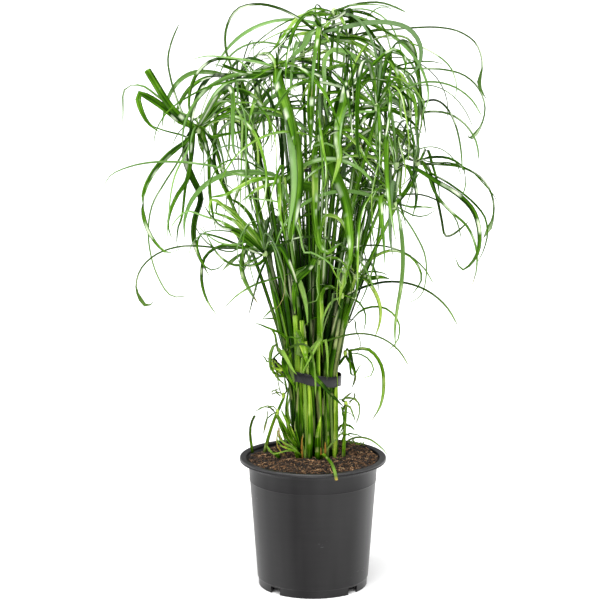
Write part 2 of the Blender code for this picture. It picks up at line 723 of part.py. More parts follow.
def strap_shape():
    """The black strap: round the bundle, falling to the right, with its tail standing off at the left."""
    centre = Vector((TIE_CENTRE.x, TIE_CENTRE.y, STRAP_LEVEL))
    way = [(Vector((x, y, z)), height) for x, y, z, height in STRAP_TAIL]
    for place in oval_way(centre, TIE_HALF_X + STRAP_ROOM, TIE_HALF_Y + STRAP_ROOM, 0, STRAP_START,
                          STRAP_THICKNESS + STRAP_LAP_ROOM):
        way.append((place - Vector((0, 0, STRAP_TILT * place.x)), STRAP_HEIGHT))
    return ribbon(way, STRAP_THICKNESS)


def upper_tie_shape():
    """The thin tie round two of the middle stems, with a broader clasp at its front."""
    way = [(Vector((x, y, z)), height) for x, y, z, height in UPPER_TIE_TAIL]
    for index, place in enumerate(oval_way(UPPER_TIE_CENTRE, *UPPER_TIE_HALF, UPPER_TIE_TURN, UPPER_TIE_START,
                                           UPPER_TIE_THICKNESS + STRAP_LAP_ROOM)):
        way.append((place, UPPER_TIE_CLASP if index in (1, 2) else UPPER_TIE_HEIGHT))
    return ribbon(way, UPPER_TIE_THICKNESS)


class Hub:
    """The short knob on a stem's top, with two tiers of slots from which the leaves grow."""

    def __init__(self, place, turn):
        self.place = place
        self.turn = turn
        self.points = []
        self.faces = []
        self.slots = []
        tiers = ((0.0, HUB_LOW_RADIUS), (HUB_TIER, HUB_MID_RADIUS), (HUB_TIER * 2, HUB_TOP_RADIUS))
        for tier, (height, radius) in enumerate(tiers):
            for side in range(HUB_SIDES):
                angle = turn + (side + 0.5 * tier) * 2 * math.pi / HUB_SIDES
                spoke = Vector((radius * math.cos(angle), radius * math.sin(angle), height))
                self.points.append(place + spoke)
        for tier in range(2):
            low = tier * HUB_SIDES
            high = low + HUB_SIDES
            for side in range(HUB_SIDES):
                after = (side + 1) % HUB_SIDES
                self.faces.append((low + side, low + after, high + side))
                self.slots.append((high + after, high + side, low + after))
        self.faces += cap_faces(2 * HUB_SIDES, HUB_SIDES)

    def slot_centre(self, slot):
        return sum((self.points[corner] for corner in self.slots[slot]), Vector()) / 3

    def slot_out(self, slot):
        """The level direction in which a slot faces."""
        out = self.slot_centre(slot) - self.place
        return Vector((out.x, out.y, 0)).normalized()


class Leaf:
    """One leaf: its way from the hub, its width and its twist."""

    def __init__(self, width, knots, twist):
        self.width = width
        self.knots = knots
        self.twist = math.radians(twist)


def leaf_rings(root, out, leaf, push):
    """Rings along a leaf that grows from a slot; push moves it along the line of sight."""
    lift = math.radians(LEAF_LIFT)
    centre = sum(root, Vector()) / 3
    rise = centre + (out * math.cos(lift) + Vector((0, 0, math.sin(lift)))) * LEAF_RISE
    knots = []
    for index, knot in enumerate(leaf.knots):
        share = min(1.0, (index + 1) / max(len(leaf.knots) - 1, 1))
        knots.append(EYE + (knot - EYE) * (1 - push * share / EYE.y))
    if (knots[0] - centre).length < LEAF_SHORT_START:
        rise = centre.lerp(rise, 0.5)
    length = sum((b - a).length for a, b in zip([centre, rise, *knots], [rise, *knots]))
    steps = max(LEAF_STEPS_MIN, min(LEAF_STEPS_MAX, round(length / LEAF_STEP)))
    route = smooth_route([centre, rise, *knots], steps)
    return blade_rings(route, root[0] - root[1], leaf)


def blade_rings(route, side, leaf):
    """Rings of three points, left edge, right edge and keel, at each place of a route after its first."""
    rings = []
    steps = len(route) - 1
    for index in range(1, steps + 1):
        before = route[index - 1]
        after = route[min(index + 1, steps)]
        along = (after - before).normalized()
        side = (side - along * side.dot(along)).normalized()
        share = index / steps
        turned_side = Matrix.Rotation(leaf.twist * share, 3, along) @ side
        up = along.cross(turned_side)
        width = leaf.width * (1 - LEAF_TAPER * share ** 3)
        keel = LEAF_KEEL * (1 - KEEL_TAPER * share)
        place = route[index]
        rings.append((place + turned_side * width / 2, place - turned_side * width / 2, place - up * keel))
    return rings


def leaf_faces(slot, first, rings):
    """Triangles from a slot's three corners through the rings to a pointed tip."""
    faces = []
    low = slot
    for ring in range(rings - 1):
        high = (first + 3 * ring, first + 3 * ring + 1, first + 3 * ring + 2)
        for side in range(3):
            after = (side + 1) % 3
            faces.append((low[side], low[after], high[side]))
            faces.append((low[after], high[after], high[side]))
        low = high
    tip = first + 3 * (rings - 1)
    for side in range(3):
        faces.append((low[side], low[(side + 1) % 3], tip))
    return faces


def blade_shape(leaf):
    """Points and triangles of a single blade that stands in the soil."""
    route = smooth_route(leaf.knots, LEAF_STEPS_MAX)
    foot = route[0] - (route[1] - route[0])
    side = (route[-1] - route[0]).cross(Vector((0, 0, 1)))
    rings = blade_rings([foot, *route], side, leaf)
    points = [point for ring in rings[:-1] for point in ring]
    points.append((rings[-1][0] + rings[-1][1]) / 2)
    level = max(point.z for point in points[:3])
    for point in points[:3]:
        point.z = level
    return points, leaf_faces((0, 1, 2), 3, len(rings) - 1) + [(0, 1, 2)]


def fatter(ring, extra):
    """A ring with its points moved out from its middle."""
    middle = sum(ring, Vector()) / len(ring)
    return [point + (point - middle).normalized() * extra for point in ring]


def past_root(root, rings):
    """A ring a little way along a leaf's first step, where it has left its neighbours' roots."""
    return [corner.lerp(after, ROOT_SHARE) for corner, after in zip(root, rings[0])]


def crosses_itself(points, faces):
    """Whether triangles of one leaf that share no corner cross."""
    tree = tree_of((points, faces))
    return any(first < second and not set(faces[first]) & set(faces[second])
               for first, second in tree.overlap(tree))


def traced_leaves(rows, depth):
    """Leaves from a table's rows: each point's depth goes evenly from the crown's to the tip's."""
    leaves = []
    for width, tip_depth, twist, trace in rows:
        knots = []
        for index, (x, z) in enumerate(trace):
            share = (index + 1) / len(trace)
            knots.append(seen(x, z, depth + (tip_depth - depth) * share))
        leaves.append(Leaf(width, knots, twist))
    return leaves


def arching_leaf(place, heading, draw):
    """A leaf by rule: it rises from the hub, arches over and hangs, drifting a little to one side."""
    length = draw.uniform(*FILL_LENGTH)
    rise = min(math.radians(draw.uniform(*FILL_RISE)), (FILL_CEILING - place.z) / FILL_CLIMB)
    droop = math.radians(draw.uniform(*FILL_DROOP))
    sway = math.radians(draw.uniform(*FILL_SWAY))
    knots = []
    spot = place.copy()
    for step in range(FILL_STEPS):
        share = (step + 0.5) / FILL_STEPS
        pitch = rise - droop * share ** FILL_BEND
        way = heading + sway * share
        ahead = Vector((math.cos(way) * math.cos(pitch), math.sin(way) * math.cos(pitch), math.sin(pitch)))
        spot = spot + ahead * (length / FILL_STEPS)
        knots.append(spot)
    return Leaf(draw.uniform(*FILL_WIDTH), knots, draw.uniform(*FILL_TWIST))


def widest_gap(headings):
    """The middle of the widest gap between directions."""
    if not headings:
        return FIRST_HEADING
    full = 2 * math.pi
    ordered = sorted(heading % full for heading in headings)
    gaps = [after - before for before, after in zip(ordered, [*ordered[1:], ordered[0] + full])]
    widest = gaps.index(max(gaps))
    return ordered[widest] + gaps[widest] / 2


class Crown:
    """A hub and the leaves that grow from it, built up as one closed shape."""

    def __init__(self, name, stem, turn, space):
        self.name = name
        self.stem = stem
        self.hub = Hub(stem.top, turn)
        self.points = list(self.hub.points)
        self.faces = list(self.hub.faces)
        self.free = set(range(len(self.hub.slots)))
        self.headings = []
        space.add(name, (self.hub.points, self.hub.faces + self.hub.slots))

    def grow(self, leaf, pushes, space):
        """Grow a leaf from the free slot that faces its way, at the first push that clears all else."""
        aim = math.atan2(leaf.knots[0].y - self.hub.place.y, leaf.knots[0].x - self.hub.place.x)
        aim_vector = Vector((math.cos(aim), math.sin(aim), 0))
        slots = sorted(self.free, key=lambda slot: -self.hub.slot_out(slot).dot(aim_vector))
        for slot in slots[:LEAF_SLOTS_TRIED]:
            for push in pushes:
                root = [self.hub.points[corner] for corner in self.hub.slots[slot]]
                rings = leaf_rings(root, self.hub.slot_out(slot), leaf, push)
                if self.fits(root, rings, space):
                    self.join(slot, rings, space)
                    self.headings.append(aim)
                    return True
        return False

    def fits(self, root, rings, space):
        """Whether a leaf, drawn a little fatter, clears what stands already."""
        wide = [point for ring in rings[:-1] for point in fatter(ring, LEAF_ROOM)]
        wide.append((rings[-1][0] + rings[-1][1]) / 2)
        faces = leaf_faces((0, 1, 2), 3, len(rings))
        slim = [point for ring in rings[:-1] for point in ring] + wide[-1:]
        if crosses_itself(root + wide, faces) or crosses_itself(root + slim, faces):
            return False
        return space.is_free(self.name, (root + wide, faces), (past_root(root, rings) + wide, faces))

    def join(self, slot, rings, space):
        """Add a leaf's points and faces to the crown and to the space taken."""
        root = [self.hub.points[corner] for corner in self.hub.slots[slot]]
        points = [point for ring in rings[:-1] for point in ring]
        points.append((rings[-1][0] + rings[-1][1]) / 2)
        faces = leaf_faces((0, 1, 2), 3, len(rings))
        space.add(self.name, (root + points, faces), (past_root(root, rings) + points, faces))
        self.faces += leaf_faces(self.hub.slots[slot], len(self.points), len(rings))
        self.points += points
        self.free.discard(slot)

    def mesh(self):
        """Points and triangles of the crown by itself."""
        faces = self.faces + [self.hub.slots[slot] for slot in self.free]
        return self.points, faces + cap_faces(0, HUB_SIDES)

    def mesh_with_stem(self):
        """Points and triangles of a shoot: the crown and its stem in one piece."""
        faces = self.faces + [self.hub.slots[slot] for slot in self.free]
        points = list(self.points)
        high = 0
        for ring in reversed(self.stem.rings(HUB_SIDES, self.hub.turn)[:-1]):
            low = len(points)
            points += ring
            faces += band_faces(low, high, HUB_SIDES)
            high = low
        return points, faces + cap_faces(high, HUB_SIDES)


def grow_crowns(stems, space):
    """All crowns: the traced leaves first, then the leaves that fill each crown."""
    crowns = {}
    plans = []
    for kind, table, traces in (("crown_", CROWNS, CROWN_LEAVES), ("shoot_", SHOOTS, SHOOT_LEAVES)):
        for key, (x, z, depth, extra) in table.items():
            stem = stems[("culm_" if kind == "crown_" else "shoot_") + key]
            crown = Crown(kind + key, stem, HUB_TURN * len(crowns), space)
            crowns[kind + key] = crown
            plans.append((crown, traced_leaves(traces.get(key, ()), depth), extra))
    for crown, leaves, _ in plans:
        for leaf in leaves:
            crown.grow(leaf, PUSHES, space)
    draw = random.Random(12)
    for crown, _, extra in plans:
        for _ in range(extra):
            for attempt in range(1, FILL_TRIES + 1):
                heading = widest_gap(crown.headings) + draw.uniform(-FILL_TURN, FILL_TURN) * attempt
                leaf = arching_leaf(crown.hub.place, heading, draw)
                reach = max(knot.xy.length for knot in leaf.knots)
                if reach < FILL_REACH and crown.grow(leaf, FILL_PUSHES, space):
                    break
    return crowns


def main():
    clear_scene()
    plastic = finish("black pot plastic", (0.035, 0.035, 0.038), 0.45)
    strap_plastic = finish("black strap plastic", (0.03, 0.03, 0.035), 0.4)
    peat = finish("peat soil", (0.09, 0.045, 0.025), 0.95)
    stem_green = finish("stem green", (0.13, 0.3, 0.03), 0.45)
    leaf_green = finish("leaf green", (0.07, 0.25, 0.025), 0.4)
    make_pot(plastic)
    make_soil(peat)
    space = Space()
    stems = plan_stems(space)
    singles = {"strap": strap_shape(), "upper_tie": upper_tie_shape()}
    for name, (width, twist, places) in BLADES.items():
        singles[name] = blade_shape(Leaf(width, [Vector(place) for place in places], twist))
    for name, solid in singles.items():
        space.add(name, solid)
    crowns = grow_crowns(stems, space)
    for name, solid in singles.items():
        add_piece(name, *solid, leaf_green if name in BLADES else strap_plastic, smooth_angle=40)
    for name, stem in stems.items():
        if not name.startswith("shoot_"):
            add_piece(name, *stem.mesh(), stem_green, smooth_angle=40)
    for name, crown in crowns.items():
        shape = crown.mesh_with_stem() if name.startswith("shoot_") else crown.mesh()
        add_piece(name, *shape, leaf_green, smooth_angle=40)


main()
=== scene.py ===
"""Looks of the potted umbrella papyrus: fine leaves, stems, pot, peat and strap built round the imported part.

World frame: metres, +Z up, X to the right, Y away from the viewer. Values below are in millimetres.
"""

import itertools
import math
import random

import bmesh
import bpy
from mathutils import Matrix, Vector, noise
from mathutils.bvhtree import BVHTree


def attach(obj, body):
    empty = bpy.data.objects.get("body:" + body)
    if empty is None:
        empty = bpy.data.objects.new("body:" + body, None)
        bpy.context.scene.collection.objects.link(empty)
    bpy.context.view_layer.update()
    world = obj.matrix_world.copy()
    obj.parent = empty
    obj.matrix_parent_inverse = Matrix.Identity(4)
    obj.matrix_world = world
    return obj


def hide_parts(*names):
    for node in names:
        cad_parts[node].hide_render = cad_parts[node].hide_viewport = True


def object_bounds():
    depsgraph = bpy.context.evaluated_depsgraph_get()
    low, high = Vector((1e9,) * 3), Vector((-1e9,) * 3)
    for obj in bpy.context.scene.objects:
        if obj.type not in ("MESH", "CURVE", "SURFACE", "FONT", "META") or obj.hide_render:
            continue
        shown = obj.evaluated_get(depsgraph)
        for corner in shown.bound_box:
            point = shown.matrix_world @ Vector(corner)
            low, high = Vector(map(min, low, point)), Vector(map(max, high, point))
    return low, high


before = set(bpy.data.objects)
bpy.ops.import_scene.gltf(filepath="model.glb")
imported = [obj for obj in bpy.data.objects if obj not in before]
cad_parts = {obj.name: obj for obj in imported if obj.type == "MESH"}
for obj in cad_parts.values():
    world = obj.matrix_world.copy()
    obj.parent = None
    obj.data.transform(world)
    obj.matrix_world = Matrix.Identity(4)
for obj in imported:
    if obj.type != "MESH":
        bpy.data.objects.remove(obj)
cad_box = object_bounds()

MM = 0.001
UP = Vector((0, 0, 1))

# Camera, in the photograph's place: its lens and its tilt from straight down
EYE = Vector((-15.0, -2290.0, 744.0))
CAMERA_TILT = 79.9
CAMERA_LENS = 121.9
CAMERA_SENSOR = 36.0
CAMERA_FAR = 500.0
FLOOR_SIZE = 120000.0

# Light: a white sky, a broad sun and a softbox that points at the plant's middle, placed in metres
WORLD_POWER = 0.55
SUN_POWER = 5.2
SUN_SPREAD = 80
SUN_TURN = (30, -8, 0)
KEY_POWER = 2.5
KEY_SIZE = 0.8
KEY_PLACE = (-1.0, -1.5, 1.3)
PLANT_MIDDLE = (0, 0, 0.35)

# Leaves
LEAF_STEP = 8.0
LEAF_STEPS_MOST = 28
LEAF_THICKNESS = 0.35
LEAF_FOLD = 0.45               # how deep a leaf is folded along its middle, over its half width
LEAF_WAVE = 0.05               # how far its edges wave, over its width
LEAF_ROOT_SHARE = 0.55         # a leaf's width at its root over its full width
LEAF_ROOT_END = 0.22           # where along a leaf its full width begins
LEAF_ACROSS = (0.0, 0.22, 0.5, 0.78, 1.0)
LEAF_SLIM = (0.38, 0.065)      # a CAD leaf's width here over its width there, with a share for each millimetre
LEAF_TURN = 28.0               # degrees by which a traced leaf is turned off the line of sight
LEAF_FACING = 0.5              # how far a CAD leaf is turned to show its width
HOOK_BROAD = (1.5, 0.9, 0.055)  # how much a hook broadens, where along it, and over what share of it
PUSHES = (0, 6, -6, 12, -12, 20, -20, 30, -30)
FEW_PUSHES = (0, 7, -7)
PUSH_KNOTS = 3                 # knots over which a leaf leaves its crown's depth for its own
ROOT_HEIGHT = (0.6, 0.7)       # how high on a hub a traced and a filling leaf start, over the hub's height
TRACED_RISE = (4, 3.5)         # how far out and up a traced leaf goes before it bends over
FACING_DEPTH = 90.0            # the further back a leaf is, up to here, the less it is turned to the viewer
FACING_LEAST = 0.2
PLANT_TOP = cad_box[1][2] / MM - 5.0

# The CAD part: points round a culm, points round a shoot's stem or a hub's ring, and points of a hub
CULM_SIDES = 6
SHOOT_SIDES = 5
HUB_POINTS = 15
HUB_RISE = 9.0
HUB_HEIGHT = 7.2
KNOB = ((0, 0), (2.1, 0), (2.9, 2.2), (3.3, 4.8), (2.8, 7.6), (1.6, 9.2), (0, 9.8))
KNOB_SIDES = 10
SHOOT_KNOB = 0.7               # a shoot's knob over a crown's
SHOOT_TONES = (0.3, 0.7)
SHOOT_TOP = 0.85               # a shoot's radius at its hub, over that of its last ring

# Leaves that fill the crowns, by rule. They stay inside an outline in the front view, given as (x, z).
FILL_COUNT = 13
FILL_COUNTS = {"crown_01": 9, "crown_02": 11, "crown_03": 2, "crown_04": 3, "crown_05": 3, "crown_06": 7,
               "crown_07": 9, "crown_10": 8, "crown_12": 9, "crown_14": 15, "crown_15": 17, "crown_16": 15,
               "crown_17": 13, "crown_18": 7, "crown_19": 8, "crown_20": 8, "shoot_01": 4, "shoot_02": 5,
               "shoot_03": 4, "shoot_04": 2, "shoot_06": 2, "shoot_07": 1}
FILL_LENGTH = (120, 270)
FILL_TOP_LENGTH = (90, 210)
FILL_LOW = 540.0               # crowns below this have more of them
FILL_MORE = (0.75, 1.9)
FILL_TOP = 575.0               # crowns above this have shorter, more level leaves
SHOOT_FILL_LENGTH = (60, 130)
FILL_WIDTHS = ((1.5, 2.2), (1.7, 2.8), (2.4, 4.2), (4.0, 6.6))
SHOOT_FILL_WIDTHS = ((1.3, 2.0), (1.6, 2.8))
FILL_RISE = (15, 70)
FILL_CLIMB = 42.0              # level run over which a leaf may climb to the top of the plant
FILL_HANG = (45, 95)           # degrees below level at which a leaf hangs
FILL_TOP_HANG = (5, 100)
FILL_TURN = (0.45, 1.1)        # where along a leaf its arch ends
FILL_CURL = (-40, 110)
FILL_SWAY = 85.0
FILL_TWIST = 1.2               # most that a leaf twists along its length
FILL_ROOT_TURN = 0.5           # most that it is turned at its root
FILL_STEPS = 8
FILL_TRIES = 60
# Places of the big leaves at the front, as left, low, right and high in the front view. No filling leaf that
# comes nearer to the viewer than the depth below may hide them.
KEEP_CLEAR = ((-52, 562, 6, 608), (-38, 400, -12, 562), (-8, 490, 4, 600), (8, 530, 20, 620), (18, 462, 40, 560),
              (34, 385, 50, 470), (-14, 380, 4, 470))
KEEP_CLEAR_DEPTH = -20.0
FILL_ROOM = 4.0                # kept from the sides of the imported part's box
FILL_OUTLINE = ((-75, 625), (-40, 664), (20, 672), (85, 664), (122, 620), (134, 570), (130, 500), (115, 440),
                (92, 380), (66, 325), (48, 262), (-30, 262), (-48, 320), (-85, 360), (-118, 420), (-125, 500),
                (-115, 560), (-95, 600))

# Broad blades that stand among the stems
INNER_COUNT = 150
INNER_WIDTH = (4.2, 9.2)
INNER_TOP = (290, 525)
INNER_STEPS = 4
INNER_FAN = 0.0078             # how fast the bundle widens above the strap, per millimetre
INNER_TIE = Vector((0.0, 0.0, 250.0))
INNER_HALF = (27.0, 22.0)
INNER_FOOT = Vector((4.0, 8.0, 149.0))
INNER_FOOT_HALF = 0.88         # the bundle's half width at its foot, over that at the strap
INNER_SPLAY = 0.12             # how much further the tips go out
INNER_TURN = 0.9
INNER_TONES = (0.37, 0.12, 0.14, 0.62)   # middle, spread, least and most

# Stems
STEM_SIDES = 12
STEM_SLIM = 0.86               # a stem's radius here over its solid's
STEM_STEP = 12.0
STEM_STEPS_MOST = 60
STEM_CORNERS = 0.1             # how far a stem's three blunt corners stand out, over its radius
STEM_TONES = (0.36, 0.58)
STEM_TONES_KEPT = (0.26, 0.55)
STEM_TURN = 250.0              # height over which a stem's marks along it run from 0 to 1
# Painted shade: stems that stand further back are painted darker.
STEM_BACK_SHADE = (0.01, 16)         # how much darker a stem is for each millimetre it stands back, from 16 in front

# Pot
POT_SIDES = 160
POT_WALL = 1.5
POT_FLOOR = 1.8
RIM_RADIUS = 85.0
RIM_TOP = 152.4
LIP_UNDER = 148.0
COLLAR_RADIUS = 74.5
COLLAR_FOOT = 125.5
FLARE_FOOT = 143.5
FLARE_REACH = 4.1
FLARE_TOP = 149.0
BODY_TOP_RADIUS = 73.2
BODY_FOOT_RADIUS = 64.7
FOOT_RADIUS = 63.2
FOOT_HEIGHT = 9.6
CHANNEL_HEIGHT = 8.6
CHANNEL_INNER = 45.0
CHANNEL_OUTER = 61.0
CENTRE_RADIUS = 42.0
NOTCH_ANGLES = (-43.5, 46.5, 136.5, 226.5)
NOTCH_WIDTH = 14.0
NOTCH_HEIGHT = 8.0
DRAIN_WIDTH = 9.0
DRAIN_EDGE = 4.0               # left between the drain slots and the channel's walls
POT_SHARP = 32                 # edges of a wider angle than this look sharp

# Peat
CRUST_RINGS = 44
CRUST_SIDES = 132
CRUST_LIFT = 0.9
CRUST_DEPTH = 1.6
CRUST_GRAIN = 0.12
CRUST_ROUGH = (-0.6, 1.3)      # how far the crust dips at most, and how rough it is
FIBRE_COUNT = 2600
FIBRE_STEPS = 4
FIBRE_REACH = 0.985            # how far out fibres lie, over the peat's radius
FIBRE_LENGTH = (4, 14)
FIBRE_BEND = 1.2
FIBRE_LIFT = (0.2, 2.2)
FIBRE_REST = 0.2               # how far above the crust a fibre's ends lie
FIBRE_RADIUS = (0.18, 0.58)
FIBRE_TONES = (0.55, 0.22)     # middle and spread
CRUMB_COUNT = 1900
CRUMB_SIZE = (0.6, 2.3)
CRUMB_UNEVEN = (0.6, 1.3)
CRUMB_TONES = (0.3, 0.2)
CRUMB_FACES = [(0, 1, 2), (0, 2, 3), (0, 3, 4), (0, 4, 1), (5, 2, 1), (5, 3, 2), (5, 4, 3), (5, 1, 4)]
CRUMB_CORNERS = [(0, 0, 1), (1, 0, 0), (0, 1, 0), (-1, 0, 0), (0, -1, 0), (0, 0, -1)]
PEAT_RADIUS = 76.6
SOIL_LOWEST = 143.0            # the soil's top is nowhere below this
TUFT_COUNT = 34
TUFT_CENTRE = (55.0, 46.0)
TUFT_SPREAD = (7.0, 4.2)
TUFT_LEAN = 4
TUFT_HEIGHT = (3, 10)
TUFT_WIDTH = (0.8, 1.6)
TUFT_TONES = (0.4, 0.9)
TUFT_AGES = (0.2, 0.6)

# Strap
STRAP_CENTRE = Vector((-1.0, 0.0, 248.5))
STRAP_HALF = (32.4, 29.4)
STRAP_TILT = 0.17
STRAP_HEIGHT = 12.0
STRAP_THICKNESS = 1.1
STRAP_START = 215.0
STRAP_LAP = 20.0
STRAP_LAP_ROOM = 1.6
STRAP_STEPS = 96
STRAP_SHARP = 50
STRAP_WAVES = ((0.35, 9), (0.5, 7))   # how far the strap waves up and down and in its height, and how often
STRAP_TAIL = ((-46, -15, 268.5, 7), (-41.5, -13, 262, 9), (-37, -11.5, 257, 10), (-32, -13, 254, 11))

# Tones of leaves and stems run from 0, the darkest green, to 1, bright yellow-green. Age runs from 0, fresh,
# through 0.5, pale grey-green, to 1, straw. A look is a tone and the ages of root and tip.
LOOKS = {"DARK": (0.12, 0.0, 0.0), "MID": (0.42, 0.0, 0.0), "BRIGHT": (0.6, 0.0, 0.0), "VIVID": (0.8, 0.0, 0.0),
         "PALE": (0.6, 0.4, 0.4), "GREY": (0.35, 0.55, 0.5), "STRAW": (0.6, 0.8, 1.0), "DRY": (0.4, 1.05, 1.1)}
OUTER_TONES = (0.2, 0.38)
OUTER_AGES = ((0, 0), (0, 0.3), (0, 0.5), (0.3, 0.4), (0.42, 0.5), (0.1, 0.9))
NODE_LOOKS = {"blade_left": (0.3, 0.1, 0.3), "blade_over_rim": (0.3, 0.0, 1.1)}
HUB_LOOK = (0.8, 0.0)
HUB_LOOKS = {"crown_02": (1.3, 0.0)}
STEM_LOOKS = {"culm_10": (0.0, 0.0), "cut_stem_01": (0.85, 0.0), "cut_stem_02": (0.9, 0.0)}
STEM_SLIMS = {"culm_10": 0.5, "cut_stem_01": 1.7, "cut_stem_02": 1.7}

# Leaf tips in the front view whose leaves have a form and width of their own
TIP_REACH = 3.0                # how near a tip has to lie
BLUNT_TIP = (-187, 599)
BLUNT_REACH = 8.0
BLUNT_WIDER = 1.15
LEAF_ENDS = {(176, 530): ("hook", 2.4), (196, 564): ("hook", 2.4), (-180, 336): ("hook", 2.4),
             (-105, 368): ("hook", 2.4), (193, 406): ("hook", 3.0), (178, 427): ("thread", 3.6),
             (-90, 548): ("thread", 3.4), (181, 530): ("thread", 1.5), (151, 540): ("thread", 1.5),
             (169, 474): ("thread", 1.5)}
THIN_TIPS = ((-140, 341), (-149, 651), (191, 544), (188, 493), (168, 482), (166, 304), (111, 257), (2, 220),
             (138, 352), (169, 404), (70, 343), (169, 474), (105, 661))
THIN_WIDTH = (2.1, 3.0)
THIN_TONES = (-0.2, 0.1)
THIN_AGES = ((0.0, 0.3), (0.1, 0.6))

# A blade that lies over the pot's rim
OVER_RIM = ((34, 58, 151), (50, 45, 163), (66, 30, 165), (78, 15, 160), (86, 0, 154.5), (88.5, -4, 149))
OVER_RIM_WIDTH = 2.4

